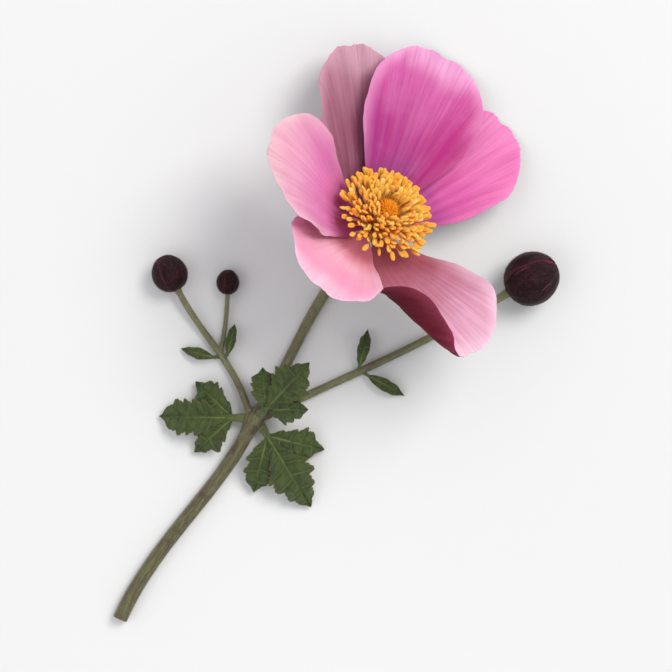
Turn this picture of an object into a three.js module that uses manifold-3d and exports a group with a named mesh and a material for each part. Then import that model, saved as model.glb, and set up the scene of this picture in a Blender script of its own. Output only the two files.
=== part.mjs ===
// A picked Japanese anemone (Anemone hupehensis / A. x hybrida): one open flower on its
// stalk, the leafy whorl below it with two side stalks that carry closed buds, and the
// cut length of main stem under the whorl. It lies on a level surface, as it would on a
// table: the face of the flower looks up and away from the stem, the far tepals and a
// near one touch the surface, and the stem, the bracts and the buds rest on it.
//
// Millimetres, +Z up. +Y runs from the cut end of the stem towards the flower.
// The origin is under the middle of the whole flower stem, on the surface it lies on.

import * as THREE from "three";
import { mergeVertices } from "three/addons/utils/BufferGeometryUtils.js";
import Module from "manifold-3d";

// ---------------------------------------------------------------- driving dimensions
// Points are in the working frame, whose origin is the whorl, on the surface.
const ORIGIN_IN_WORK_FRAME = [5.13, 17.82, 0.02]; // what becomes 0, 0, 0

// flower
const FLOWER_BASE = [4, 46, 12.35]; // where the tepals meet the stalk
const FACE_TILT_DEG = 38; // of the flower's axis from straight up
const FACE_AZIMUTH_DEG = 77; // the way it leans, from +X
const TEPAL_CLAW_RADIUS = 2.9; // the narrow base starts this far from the axis
const TEPAL_THICKNESS = 0.7;

// Each tepal: azimuth round the axis from the way the face leans, length, rise above the
// flower's plane, layer (positive is further out), and how much its slope changes to the
// tip. For the side of larger azimuth (a) and the other (b): half width, radius of the
// cross curve, and the angle in degrees through which its margin curls in. A smaller form
// is broader towards the base.
const TEPALS = [
  { name: "tepal_outer_1", psi: -12, L: 35.5, c: 23, layer: 1.35, tip: -2, a: [11, 75, 0], b: [12.7, 26, 0], form: 1.45 },
  { name: "tepal_inner_1", psi: 19, L: 38.5, c: 24, layer: -1.15, tip: -13, a: [13, 28, 0], b: [13, 28, 0] },
  { name: "tepal_outer_2", psi: 48, L: 37, c: 23, layer: 1.5, tip: -7, a: [10, 30, 0], b: [11, 70, 0] },
  { name: "tepal_inner_2", psi: 116, L: 31, c: 33, layer: -0.9, tip: -12, a: [15.5, 30, 0], b: [11.6, 24, 0] },
  { name: "tepal_inner_3", psi: 181, L: 31, c: 28, layer: 0.9, tip: -9, a: [9.6, 22, 0], b: [13.6, 30, 0], form: 1.4 },
  { name: "tepal_outer_3", psi: -115, L: 32.5, c: 13, layer: 1.6, tip: -4, a: [14, 30, 0], b: [14, 24, 170], across: 18, form: 1.4 },
];

// stamens: insertion radius and height on the axis, rise, length, count
const STAMEN_WHORLS = [
  { name: "stamens_outer_whorl", r0: 2.75, w0: 2.0, rise: 32, len: 7.7, n: 18 },
  { name: "stamens_middle_whorl", r0: 2.45, w0: 2.9, rise: 47, len: 7.0, n: 15 },
  { name: "stamens_inner_whorl", r0: 2.15, w0: 3.9, rise: 62, len: 5.9, n: 11 },
];
const FILAMENT_RADIUS = 0.2;
const ANTHER = [0.42, 0.42, 1.0]; // half sizes
const CARPEL_HEAD_RADIUS = 2.6;
const CARPEL_HEAD_HEIGHT = 7.0; // its centre, on the axis

// stems, as cubic Bezier points with the radius at each end and in the middle
const MAIN_STEM = {
  pts: [[-6, -50, 1.52], [-7, -32, 1.5], [0.8, -16, 1.5], [0, -0.6, 2.1]],
  r: [1.5, 1.4, 1.45],
};
const WHORL_NODE = { at: [0, 0, 2.15], half: [2.3, 2.0, 2.1] }; // the swelling
const FLOWER_STALK = {
  a: [[0.15, 2.45, 2.3], [1.4, 10, 1.3], [0.2, 20, 1.15], [1.1, 29, 1.25]],
  r: [1.15, 0.85, 1.35],
  neck: [8.4, 8.8], // how far the neck's control points reach at its two ends
};
const BUD_STALK_LARGE = {
  pts: [[2.25, 1.95, 2.3], [9, 12, 0.3], [24, 28, 0.7], [34.7, 46.6, 4.6]],
  r: [0.85, 0.75, 0.8],
};
const BUD_STALK_SMALL = {
  pts: [[-2.25, 1.3, 2.5], [-9, 8.4, 0.6], [-18, 10.5, 0.9], [-26, 16.4, 3.0]],
  r: [0.75, 0.65, 0.65],
};
const BUD_STALK_TINY = {
  pts: [[-13.0, 10.4, 1.5], [-13.6, 13.0, 1.5], [-14.8, 16.2, 1.6], [-16.6, 20.2, 2.1]],
  r: [0.5, 0.45, 0.45],
};
// buds: centre, radius, the way they point, how much longer than wide
const BUDS = [
  { name: "bud_large", at: [37.9, 51.9, 5.55], r: 5.5, dir: [0.52, 0.86, 0.16], long: 1.06 },
  { name: "bud_small", at: [-29.3, 18.8, 3.72], r: 3.7, dir: [-0.85, 0.6, 0.15], long: 1.05 },
  { name: "bud_tiny", at: [-17.8, 22.7, 2.5], r: 2.35, dir: [-0.42, 0.85, 0.12], long: 1.1 },
];

// bracts: where each joins the whorl, heading, rise at the base, its drop to the tip, and size
const BRACTS = [
  { name: "bract_left", at: [-2.5, -1.1, 2.4], head: 206, rise: 16, droop: 43, L: 18, W: 3.5, lobe: 0.66, spread: 38 },
  { name: "bract_right", at: [2.6, -1.0, 2.4], head: -32, rise: 17, droop: 43, L: 20, W: 3.8, lobe: 0.66, spread: 40 },
  { name: "bract_upper", at: [0.9, 1.5, 4.75], head: 74, rise: 38, droop: 48, L: 16, W: 3.4, lobe: 0.62, spread: 42 },
];
const BRACT_THICKNESS = 0.6;
const BRACT_FOOT = 1.8; // plain length before the lobes part
// the pair of narrow bractlets on each side stalk: place on the stalk, side, size
const BRACTLETS = [
  { name: "bractlet_small_a", at: [-12.9, 7.55, 1.85], head: 192, rise: 14, droop: 40, L: 8, W: 1.2 },
  { name: "bractlet_small_b", at: [-11.0, 9.1, 2.0], head: 104, rise: 30, droop: 66, L: 7.5, W: 1.1 },
  { name: "bractlet_large_a", at: [16.7, 18.7, 1.9], head: -2, rise: 16, droop: 42, L: 9.5, W: 1.35 },
  { name: "bractlet_large_b", at: [14.6, 19.4, 2.0], head: 104, rise: 32, droop: 66, L: 9, W: 1.3 },
];

// ---------------------------------------------------------------- small helpers
const V = (a) => new THREE.Vector3(...a);
const rad = THREE.MathUtils.degToRad;
const smooth = (x) => {
  const t = Math.min(1, Math.max(0, x));
  return t * t * (3 - 2 * t);
};
const mix3 = (r, t) => (1 - t) * (1 - t) * r[0] + 2 * t * (1 - t) * r[1] + t * t * r[2];

// A stock three.js geometry with every vertex moved by fn, as one closed surface.
function shaped(geometry, fn) {
  const g = geometry.clone();
  g.deleteAttribute("normal");
  g.deleteAttribute("uv");
  const merged = mergeVertices(g, 1e-5);
  const p = merged.attributes.position;
  for (let i = 0; i < p.count; i++) {
    const q = fn(p.getX(i), p.getY(i), p.getZ(i));
    p.setXYZ(i, q.x, q.y, q.z);
  }
  return merged;
}

// ---------------------------------------------------------------- joining solids
const wasm = await Module();
wasm.setup();
function solid(geometry) {
  const g = geometry.clone();
  for (const name of Object.keys(g.attributes)) if (name !== "position") g.deleteAttribute(name);
  const m = mergeVertices(g, 1e-5);
  return new wasm.Manifold(
    new wasm.Mesh({
      numProp: 3,
      vertProperties: new Float32Array(m.attributes.position.array),
      triVerts: new Uint32Array(m.index.array),
    }),
  );
}
function geometryOf(manifold) {
  const m = manifold.getMesh();
  const v = new Float32Array(m.numVert * 3);
  for (let i = 0; i < m.numVert; i++)
    v.set(m.vertProperties.subarray(i * m.numProp, i * m.numProp + 3), i * 3);
  const g = new THREE.BufferGeometry();
  g.setAttribute("position", new THREE.BufferAttribute(v, 3));
  g.setIndex(new THREE.BufferAttribute(new Uint32Array(m.triVerts), 1));
  g.computeVertexNormals();
  return g;
}
const joined = (list) => geometryOf(list.map(solid).reduce((a, b) => a.add(b)));

// ---------------------------------------------------------------- stems
// A round stem along a curve, with the radius given along it. Its cross sections keep
// level, because every stem here runs more or less along the surface.
function stem(curve, radius, sides = 8, steps = 20) {
  const frames = [];
  for (let i = 0; i <= steps; i++) {
    const t = i / steps;
    const p = curve.getPoint(t);
    const tangent = curve.getTangent(t);
    const side = new THREE.Vector3(0, 0, 1).cross(tangent).normalize();
    const up = tangent.clone().cross(side).normalize();
    frames.push({ p, side, up, r: radius(t) });
  }
  return shaped(new THREE.CylinderGeometry(1, 1, 1, sides, steps), (x, y, z) => {
    const f = frames[Math.round((y + 0.5) * steps)];
    return f.p
      .clone()
      .addScaledVector(f.side, x * f.r)
      .addScaledVector(f.up, -z * f.r);
  });
}
const bezier = (pts) => new THREE.CubicBezierCurve3(...pts.map(V));

// ---------------------------------------------------------------- the flower's own frame
const tilt = rad(FACE_TILT_DEG),
  azimuth = rad(FACE_AZIMUTH_DEG);
const AXIS = new THREE.Vector3(
  Math.sin(tilt) * Math.cos(azimuth),
  Math.sin(tilt) * Math.sin(azimuth),
  Math.cos(tilt),
);
const E1 = new THREE.Vector3(
  Math.cos(tilt) * Math.cos(azimuth),
  Math.cos(tilt) * Math.sin(azimuth),
  -Math.sin(tilt),
);
const E2 = new THREE.Vector3(-Math.sin(azimuth), Math.cos(azimuth), 0);
const BASE = V(FLOWER_BASE);
// A point from its place in the flower: x along E1, y along E2, w along the axis.
const inFlower = (x, y, w) =>
  BASE.clone().addScaledVector(E1, x).addScaledVector(E2, y).addScaledVector(AXIS, w);

// ---------------------------------------------------------------- tepals
// Slope of a tepal's midline above the flower's plane, in degrees, at q from 0 to 1.
const slopeAt = (t, q) =>
  10 + (t.c + 4 - 10) * smooth(q / 0.3) + (t.tip - 4) * smooth((q - 0.45) / 0.55);
// Outline: half width at q, as a share of the widest.
const outlineAt = (q, form) =>
  Math.max(Math.pow(Math.max(0, Math.sin(Math.PI * Math.pow(q, form))), 0.6), q < 0.5 ? 0.1 : 0.05);

function tepal(t) {
  const psi = rad(t.psi);
  const out = E1.clone().multiplyScalar(Math.cos(psi)).addScaledVector(E2, Math.sin(psi));
  const across = E1.clone().multiplyScalar(-Math.sin(psi)).addScaledVector(E2, Math.cos(psi));
  const N = 200;
  const line = [{ r: TEPAL_CLAW_RADIUS, w: -0.35 * t.layer }];
  for (let i = 1; i <= N; i++) {
    const a = rad(slopeAt(t, (i - 0.5) / N));
    const last = line[i - 1];
    line.push({ r: last.r + (Math.cos(a) * t.L) / N, w: last.w + (Math.sin(a) * t.L) / N });
  }
  const at = (q, v, lift) => {
    const k = Math.min(N, Math.max(0, q * N)),
      i = Math.min(N - 1, Math.floor(k)),
      f = k - i;
    const r = line[i].r + (line[i + 1].r - line[i].r) * f;
    const w = line[i].w + (line[i + 1].w - line[i].w) * f;
    const a = rad(slopeAt(t, q));
    const normal = out
      .clone()
      .multiplyScalar(-Math.sin(a))
      .addScaledVector(AXIS, Math.cos(a));
    const [W, R, curl] = v > 0 ? t.a : t.b;
    const half = W * outlineAt(q, t.form ?? 1.62);
    let sideways = 0,
      rise = 0;
    const M = 24;
    for (let k = 0; k < M; k++) {
      const u = (Math.abs(v) * (k + 0.5)) / M;
      const turn = (u * half) / R + rad(curl) * smooth((u - 0.3) / 0.7) * smooth((q - 0.3) / 0.45);
      sideways += (Math.cos(turn) * Math.abs(v) * half) / M;
      rise += (Math.sin(turn) * Math.abs(v) * half) / M;
    }
    const edge = (Math.abs(v) * half) / R + rad(curl) * smooth((Math.abs(v) - 0.3) / 0.7) * smooth((q - 0.3) / 0.45);
    const layer = -t.layer * (0.35 + 0.65 * smooth(q / 0.25)) + 0.35 * t.layer;
    return BASE.clone()
      .addScaledVector(out, r)
      .addScaledVector(AXIS, w)
      .addScaledVector(across, Math.sign(v) * (sideways - lift * Math.sin(edge)))
      .addScaledVector(normal, rise + layer + lift * Math.cos(edge));
  };
  return shaped(new THREE.BoxGeometry(2, 1, 1, t.across ?? 8, 13, 1), (x, y, z) => {
    const j = y + 0.5;
    const q = 1 - Math.pow(1 - j, 1.25);
    const thin = 0.62 + 0.38 * (1 - Math.pow(Math.abs(x), 2)) * (1 - 0.3 * q);
    return at(q, -x, z * TEPAL_THICKNESS * thin);
  });
}

// ---------------------------------------------------------------- stamens
// Each whorl is one piece: thin filaments with their anthers, joined by the narrow
// collar that they spring from.
function whorl(s) {
  const parts = [];
  const ring = [
    [s.r0 - 0.62, s.w0 - 0.3],
    [s.r0 + 0.12, s.w0 - 0.3],
    [s.r0 + 0.12, s.w0 + 0.3],
    [s.r0 - 0.62, s.w0 + 0.3],
    [s.r0 - 0.62, s.w0 - 0.3],
  ].map((p) => new THREE.Vector2(...p));
  parts.push(
    shaped(new THREE.LatheGeometry(ring, 16), (x, y, z) => inFlower(x, -z, y)),
  );
  for (let k = 0; k < s.n; k++) {
    const turn = (2 * Math.PI * k) / s.n + s.w0;
    const rise = rad(s.rise + 5 * Math.sin(2.4 * k + s.w0));
    const len = s.len * (1 + 0.06 * Math.sin(1.7 * k));
    const out = new THREE.Vector3(Math.cos(turn), Math.sin(turn), 0);
    const dir = out
      .clone()
      .multiplyScalar(Math.cos(rise))
      .add(new THREE.Vector3(0, 0, Math.sin(rise)));
    const side = new THREE.Vector3(-Math.sin(turn), Math.cos(turn), 0);
    const up = dir.clone().cross(side);
    const foot = out.clone().multiplyScalar(s.r0 - 0.25).add(new THREE.Vector3(0, 0, s.w0));
    const place = (a, b, c) => {
      const p = foot
        .clone()
        .addScaledVector(side, a)
        .addScaledVector(up, b)
        .addScaledVector(dir, c);
      return inFlower(p.x, p.y, p.z);
    };
    parts.push(
      shaped(new THREE.CylinderGeometry(FILAMENT_RADIUS, FILAMENT_RADIUS, len, 3, 1), (x, y, z) =>
        place(x, -z, y + len / 2),
      ),
      shaped(new THREE.SphereGeometry(1, 5, 3), (x, y, z) =>
        place(x * ANTHER[0], -z * ANTHER[1], len + ANTHER[2] * 0.75 + y * ANTHER[2]),
      ),
    );
  }
  return joined(parts);
}

// ---------------------------------------------------------------- stalk of the flower
// The stalk, its bend at the neck and the dome on its end that carries the flower
// (the receptacle) grew as one piece.
function flowerStalk() {
  const s = FLOWER_STALK;
  const end = BASE.clone().addScaledVector(AXIS, -0.9);
  const path = new THREE.CurvePath();
  const low = bezier(s.a);
  const start = V(s.a[3]);
  path.add(low);
  path.add(
    new THREE.CubicBezierCurve3(
      start,
      start.clone().addScaledVector(low.getTangent(1), s.neck[0]),
      end.clone().addScaledVector(AXIS, -s.neck[1]),
      end,
    ),
  );
  const dome = [
    [0, -2.6],
    [1.25, -2.6],
    [1.55, -1.6],
    [2.35, -0.75],
    [2.55, 0.1],
    [2.5, 1.0],
    [1.9, 1.35],
    [1.55, 1.9],
    [1.4, 3.2],
    [1.15, 4.1],
    [0, 4.2],
  ].map((p) => new THREE.Vector2(...p));
  return joined([
    stem(path, (t) => mix3(s.r, t), 8, 24),
    shaped(new THREE.LatheGeometry(dome, 14), (x, y, z) => inFlower(x, -z, y)),
  ]);
}

// ---------------------------------------------------------------- leaves of the whorl
// One leaflet: a thin blade on a curved midline, with forward teeth along its margins.
function leaflet(origin, heading, rise, droop, L, W, thick, teeth, footW, lift = 0, steps = 12) {
  const h = rad(heading);
  const flat = new THREE.Vector3(Math.cos(h), Math.sin(h), 0);
  const side = new THREE.Vector3(-Math.sin(h), Math.cos(h), 0);
  const N = 60;
  const line = [{ d: 0, z: 0 }];
  const slope = (q) => rad(rise - droop * smooth(q / 0.85));
  for (let i = 1; i <= N; i++) {
    const a = slope((i - 0.5) / N);
    line.push({
      d: line[i - 1].d + (Math.cos(a) * L) / N,
      z: line[i - 1].z + (Math.sin(a) * L) / N,
    });
  }
  return shaped(new THREE.BoxGeometry(2, 1, 1, 2, steps, 1), (x, y, z) => {
    const q = y + 0.5;
    const i = Math.round(q * N);
    const a = slope(q);
    const normal = flat
      .clone()
      .multiplyScalar(-Math.sin(a))
      .add(new THREE.Vector3(0, 0, Math.cos(a)));
    const blade = Math.pow(Math.sin(Math.PI * Math.pow(0.02 + 0.98 * q, 0.82)), 0.85);
    const tooth = teeth ? 0.8 + 0.1 * (Math.round(q * steps) % 3) : 1;
    const b = Math.max(W * Math.max(0, blade) * tooth, q < 0.4 ? footW : 0.22);
    const fold = 0.22 * Math.abs(x) * b;
    return V(origin)
      .addScaledVector(flat, line[i].d)
      .add(new THREE.Vector3(0, 0, line[i].z + lift))
      .addScaledVector(side, -x * b)
      .addScaledVector(normal, fold + z * thick * (1 - 0.35 * Math.abs(x)));
  });
}

function bract(b) {
  const h = rad(b.head);
  const r = rad(b.rise);
  const fork = V(b.at).add(
    new THREE.Vector3(Math.cos(h) * Math.cos(r), Math.sin(h) * Math.cos(r), Math.sin(r)).multiplyScalar(BRACT_FOOT),
  );
  const fork2 = [fork.x, fork.y, fork.z];
  const foot = shaped(new THREE.BoxGeometry(1.8, 1, 0.8, 2, 3, 1), (x, y, z) =>
    V(b.at)
      .addScaledVector(
        new THREE.Vector3(Math.cos(h) * Math.cos(r), Math.sin(h) * Math.cos(r), Math.sin(r)),
        (y + 0.5) * (BRACT_FOOT + 2.2),
      )
      .add(new THREE.Vector3(Math.sin(h) * x, -Math.cos(h) * x, z)),
  );
  const parts = [
    foot,
    leaflet(fork2, b.head, b.rise, b.droop, b.L - BRACT_FOOT, b.W, BRACT_THICKNESS, true, 1.0),
  ];
  for (const s of [1, -1])
    parts.push(
      leaflet(
        fork2,
        b.head + s * b.spread,
        b.rise - 2,
        b.droop * 0.9,
        (b.L - BRACT_FOOT) * b.lobe,
        b.W * 0.74,
        BRACT_THICKNESS,
        true,
        0.9,
        0.05,
        9,
      ),
    );
  return joined(parts);
}

// ---------------------------------------------------------------- buds
function bud(b) {
  const dir = V(b.dir).normalize();
  const side = new THREE.Vector3(0, 0, 1).cross(dir).normalize();
  const up = dir.clone().cross(side);
  return shaped(new THREE.SphereGeometry(1, 14, 10), (x, y, z) => {
    const ring = 1 + 0.02 * Math.cos(5 * Math.atan2(z, x)) * (1 - y * y);
    const tip = y > 0 ? 1 + 0.05 * y * y : 1 - 0.04 * y * y;
    return V(b.at)
      .addScaledVector(dir, y * b.r * b.long * tip)
      .addScaledVector(side, x * b.r * ring)
      .addScaledVector(up, -z * b.r * ring);
  });
}

// ---------------------------------------------------------------- materials
const finish = (color, roughness) =>
  new THREE.MeshStandardMaterial({ color: new THREE.Color(color), roughness, metalness: 0 });
const TEPAL_INNER = finish("#e48bc4", 0.55);
const TEPAL_OUTER = finish("#c04a8c", 0.6);
const ANTHERS = finish("#f5a21c", 0.75);
const CARPELS = finish("#b7b233", 0.7);
const STALK = finish("#6e6450", 0.6);
const LEAF = finish("#3a5427", 0.6);
const BUD = finish("#5c2438", 0.8);

// ---------------------------------------------------------------- the assembly
const flowerStem = new THREE.Group();
function add(name, geometry, material, parent = flowerStem) {
  const mesh = new THREE.Mesh(geometry, material);
  mesh.name = name;
  parent.add(mesh);
}

const flower = new THREE.Group();
for (const t of TEPALS)
  add(t.name, tepal(t), t.name.includes("outer") ? TEPAL_OUTER : TEPAL_INNER, flower);
for (const s of STAMEN_WHORLS) add(s.name, whorl(s), ANTHERS, flower);
add(
  "carpel_head",
  shaped(new THREE.IcosahedronGeometry(1, 3), (x, y, z) => {
    const n = new THREE.Vector3(x, y, z).multiplyScalar(CARPEL_HEAD_RADIUS);
    return inFlower(n.x, n.y, n.z * 0.97 + CARPEL_HEAD_HEIGHT);
  }),
  CARPELS,
  flower,
);
add("flower_stalk", flowerStalk(), STALK, flower);
flowerStem.add(flower);

const node = shaped(new THREE.SphereGeometry(1, 12, 8), (x, y, z) =>
  V(WHORL_NODE.at).add(
    new THREE.Vector3(x * WHORL_NODE.half[0], -z * WHORL_NODE.half[1], y * WHORL_NODE.half[2]),
  ),
);
add("main_stem", joined([stem(bezier(MAIN_STEM.pts), (t) => mix3(MAIN_STEM.r, t), 10, 18), node]), STALK);

const branches = new THREE.Group();
add("bud_stalk_large", stem(bezier(BUD_STALK_LARGE.pts), (t) => mix3(BUD_STALK_LARGE.r, t), 8, 20), STALK, branches);
add("bud_stalk_small", stem(bezier(BUD_STALK_SMALL.pts), (t) => mix3(BUD_STALK_SMALL.r, t), 8, 14), STALK, branches);
add("bud_stalk_tiny", stem(bezier(BUD_STALK_TINY.pts), (t) => mix3(BUD_STALK_TINY.r, t), 6, 8), STALK, branches);
for (const b of BUDS) add(b.name, bud(b), BUD, branches);
flowerStem.add(branches);

const leaves = new THREE.Group();
for (const b of BRACTS) add(b.name, bract(b), LEAF, leaves);
for (const b of BRACTLETS)
  add(b.name, leaflet(b.at, b.head, b.rise, b.droop, b.L, b.W, 0.5, false, 0.5, 0, 8), LEAF, leaves);
flowerStem.add(leaves);

flowerStem.position.set(...ORIGIN_IN_WORK_FRAME.map((x) => -x));

export default flowerStem;
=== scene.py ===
"""A picked Japanese anemone lying on a pale table: the looks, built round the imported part.

Lengths in the modelling code are millimetres in the working frame (origin at the leafy
node, on the surface); build() turns them into metres in the row frame.
"""

import math

import bmesh
import bpy
import numpy as np
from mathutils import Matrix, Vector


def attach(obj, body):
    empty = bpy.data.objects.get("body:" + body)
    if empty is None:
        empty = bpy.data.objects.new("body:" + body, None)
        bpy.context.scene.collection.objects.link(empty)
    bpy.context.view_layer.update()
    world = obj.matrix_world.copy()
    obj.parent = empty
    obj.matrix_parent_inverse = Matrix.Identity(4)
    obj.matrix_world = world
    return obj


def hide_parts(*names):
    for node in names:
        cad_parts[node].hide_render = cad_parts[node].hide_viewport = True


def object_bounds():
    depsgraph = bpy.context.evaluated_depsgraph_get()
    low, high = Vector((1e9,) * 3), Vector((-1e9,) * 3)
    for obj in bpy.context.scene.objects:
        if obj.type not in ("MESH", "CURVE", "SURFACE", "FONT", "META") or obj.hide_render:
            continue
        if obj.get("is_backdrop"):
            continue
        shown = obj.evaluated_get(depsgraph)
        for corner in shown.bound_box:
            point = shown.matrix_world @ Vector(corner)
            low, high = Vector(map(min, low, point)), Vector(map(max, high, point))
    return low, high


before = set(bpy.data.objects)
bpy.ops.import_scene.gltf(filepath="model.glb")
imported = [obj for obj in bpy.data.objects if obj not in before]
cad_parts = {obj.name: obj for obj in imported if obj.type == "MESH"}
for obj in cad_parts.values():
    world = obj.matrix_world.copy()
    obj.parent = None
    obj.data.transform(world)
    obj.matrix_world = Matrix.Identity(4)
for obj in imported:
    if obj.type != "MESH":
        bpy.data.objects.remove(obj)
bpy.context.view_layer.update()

rad = math.radians
TAU = 2 * math.pi

# ------------------------------------------------------------------ dimensions, mm
ORIGIN = np.array([5.13, 17.82, 0.02])
BASE = np.array([4.0, 46.0, 12.35])
TILT, AZIMUTH = rad(38), rad(77)
CLAW_RADIUS = 2.9
AXIS = np.array([math.sin(TILT) * math.cos(AZIMUTH), math.sin(TILT) * math.sin(AZIMUTH), math.cos(TILT)])
E1 = np.array([math.cos(TILT) * math.cos(AZIMUTH), math.cos(TILT) * math.sin(AZIMUTH), -math.sin(TILT)])
E2 = np.array([-math.sin(AZIMUTH), math.cos(AZIMUTH), 0.0])

# psi: azimuth round the axis, L: length, c: rise, layer: place in the overlap, tip: change
# of slope; a and b: half width, radius of the cross curve and curl of the two sides;
# form: broader towards the base where it is smaller;
# ruffle: how far each free margin waves; notch: how deep the dip at the tip is, as a share
TEPALS = [
    dict(name="outer_1", psi=-12, L=35.5, c=23, layer=1.35, tip=-2, a=(11, 75, 0), b=(12.7, 26, 0), form=1.45, ruffle=(0.0, 0.5), notch=0.022, seed=3),
    dict(name="inner_1", psi=19, L=38.5, c=24, layer=-1.15, tip=-13, a=(13, 28, 0), b=(13, 28, 0), ruffle=(0.35, 0.35), notch=0.018, seed=8),
    dict(name="outer_2", psi=48, L=37, c=23, layer=1.5, tip=-7, a=(10, 30, 0), b=(11, 70, 0), ruffle=(0.5, 0.0), notch=0.012, foot=0.22, seed=14),
    dict(name="inner_2", psi=116, L=31, c=33, layer=-0.9, tip=-12, a=(15.5, 30, 0), b=(11.6, 24, 0), ruffle=(0.4, 0.5), notch=0.02, foot=0.34, seed=21),
    dict(name="inner_3", psi=181, L=31, c=28, layer=0.9, tip=-9, a=(9.6, 22, 0), b=(13.6, 30, 0), form=1.4, ruffle=(0.3, 0.45), notch=0.03, foot=0.31, seed=27),
    dict(name="outer_3", psi=-115, L=32.5, c=13, layer=1.6, tip=-4, a=(14, 30, 0), b=(14, 24, 170), form=1.4, ruffle=(0.4, 0.2), notch=0.014, foot=0.275, seed=33),
]

MAIN_STEM = [[-6, -50, 1.52], [-7, -32, 1.5], [0.8, -16, 1.5], [0, -0.6, 2.1]]
FLOWER_STALK = [[0.15, 2.45, 2.3], [1.4, 10, 1.3], [0.2, 20, 1.15], [1.1, 29, 1.25]]
BUD_STALK_LARGE = [[2.25, 1.95, 2.3], [9, 12, 0.3], [24, 28, 0.7], [34.7, 46.6, 4.6]]
BUD_STALK_SMALL = [[-2.25, 1.3, 2.5], [-9, 8.4, 0.6], [-18, 10.5, 0.9], [-26, 16.4, 3.0]]
BUD_STALK_TINY = [[-13.0, 10.4, 1.5], [-13.6, 13.0, 1.5], [-14.8, 16.2, 1.6], [-16.6, 20.2, 2.1]]
BUDS = [
    dict(name="large", at=(37.9, 51.9, 5.55), r=5.5, dir=(0.52, 0.86, 0.16), long=1.06, seed=5, hairs=3600),
    dict(name="small", at=(-29.3, 18.8, 3.72), r=3.7, dir=(-0.85, 0.6, 0.15), long=1.05, seed=6, hairs=2100),
    dict(name="tiny", at=(-17.8, 22.7, 2.5), r=2.35, dir=(-0.42, 0.85, 0.12), long=1.1, seed=7, hairs=1200),
]
BRACTS = [
    dict(name="left", at=(-2.5, -1.1, 2.4), head=206, rise=16, droop=43, L=18, W=3.5, lobe=0.66, spread=38, seed=41),
    dict(name="right", at=(2.6, -1.0, 2.4), head=-32, rise=17, droop=43, L=20, W=3.8, lobe=0.66, spread=40, seed=52),
    dict(name="upper", at=(0.9, 1.5, 4.75), head=74, rise=38, droop=48, L=16, W=3.4, lobe=0.62, spread=42, seed=63),
]
BRACTLETS = [
    dict(name="small_a", on=(-11.9, 8.35, 1.3), at=(-12.9, 7.55, 1.85), head=192, rise=14, droop=40, L=8, W=1.2, seed=71),
    dict(name="small_b", on=(-11.3, 8.0, 1.3), at=(-11.0, 9.1, 2.0), head=104, rise=30, droop=66, L=7.5, W=1.1, seed=72),
    dict(name="large_a", on=(15.3, 18.9, 1.2), at=(16.7, 18.7, 1.9), head=-2, rise=16, droop=42, L=9.5, W=1.35, seed=73),
    dict(name="large_b", on=(14.9, 18.4, 1.2), at=(14.6, 19.4, 2.0), head=104, rise=32, droop=66, L=9, W=1.3, seed=74),
]

CAMERA_ROLL = 27.0  # degrees that the row's +Y leans clockwise in the picture
CAMERA_LENS = 150.0
CAMERA_SPAN = 137.0  # mm of the surface across the picture
CAMERA_AIM = (2.2, 5.2)  # row frame, mm


# ------------------------------------------------------------------ maths
def smooth(x):
    t = np.clip(x, 0, 1)
    return t * t * (3 - 2 * t)


def wobble(x, seed, lo=1.0, hi=4.0, n=5):
    """A smooth wandering line between about -1 and 1."""
    r = np.random.default_rng(seed)
    total = 0
    for _ in range(n):
        total = total + r.uniform(0.5, 1) * np.sin(r.uniform(lo, hi) * x + r.uniform(0, TAU))
    return total / (0.6 * n)


def wobble2(x, y, seed, lo=1.0, hi=4.0, n=9):
    """A smooth wandering surface between about -1 and 1."""
    r = np.random.default_rng(seed)
    total = 0
    for _ in range(n):
        a, k = r.uniform(0, TAU), r.uniform(lo, hi)
        total = total + r.uniform(0.5, 1) * np.sin(k * (np.cos(a) * x + np.sin(a) * y) + r.uniform(0, TAU))
    return total / (0.55 * n)


def unit(v):
    v = np.asarray(v, float)
    return v / np.maximum(np.linalg.norm(v, axis=-1, keepdims=True), 1e-12)


def bezier(pts, n):
    p = [np.array(x, float) for x in pts]
    t = np.linspace(0, 1, n)[:, None]
    return (1 - t) ** 3 * p[0] + 3 * t * (1 - t) ** 2 * p[1] + 3 * t * t * (1 - t) * p[2] + t**3 * p[3]


def resample(points, n):
    d = np.concatenate([[0], np.cumsum(np.linalg.norm(np.diff(points, axis=0), axis=1))])
    s = np.linspace(0, d[-1], n)
    return np.stack([np.interp(s, d, points[:, k]) for k in range(3)], 1), s


def frames_along(points):
    """Tangent, side and up at each point, without twist."""
    t = unit(np.gradient(points, axis=0))
    side = unit(np.cross([0, 0, 1.0], t[0]))
    sides = []
    for k in range(len(points)):
        side = unit(side - t[k] * (side @ t[k]))
        sides.append(side)
    sides = np.array(sides)
    return t, sides, np.cross(t, sides)


def in_flower(x, y, w):
    x, y, w = (np.asarray(a, float)[..., None] for a in (x, y, w))
    return BASE + E1 * x + E2 * y + AXIS * w


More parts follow.
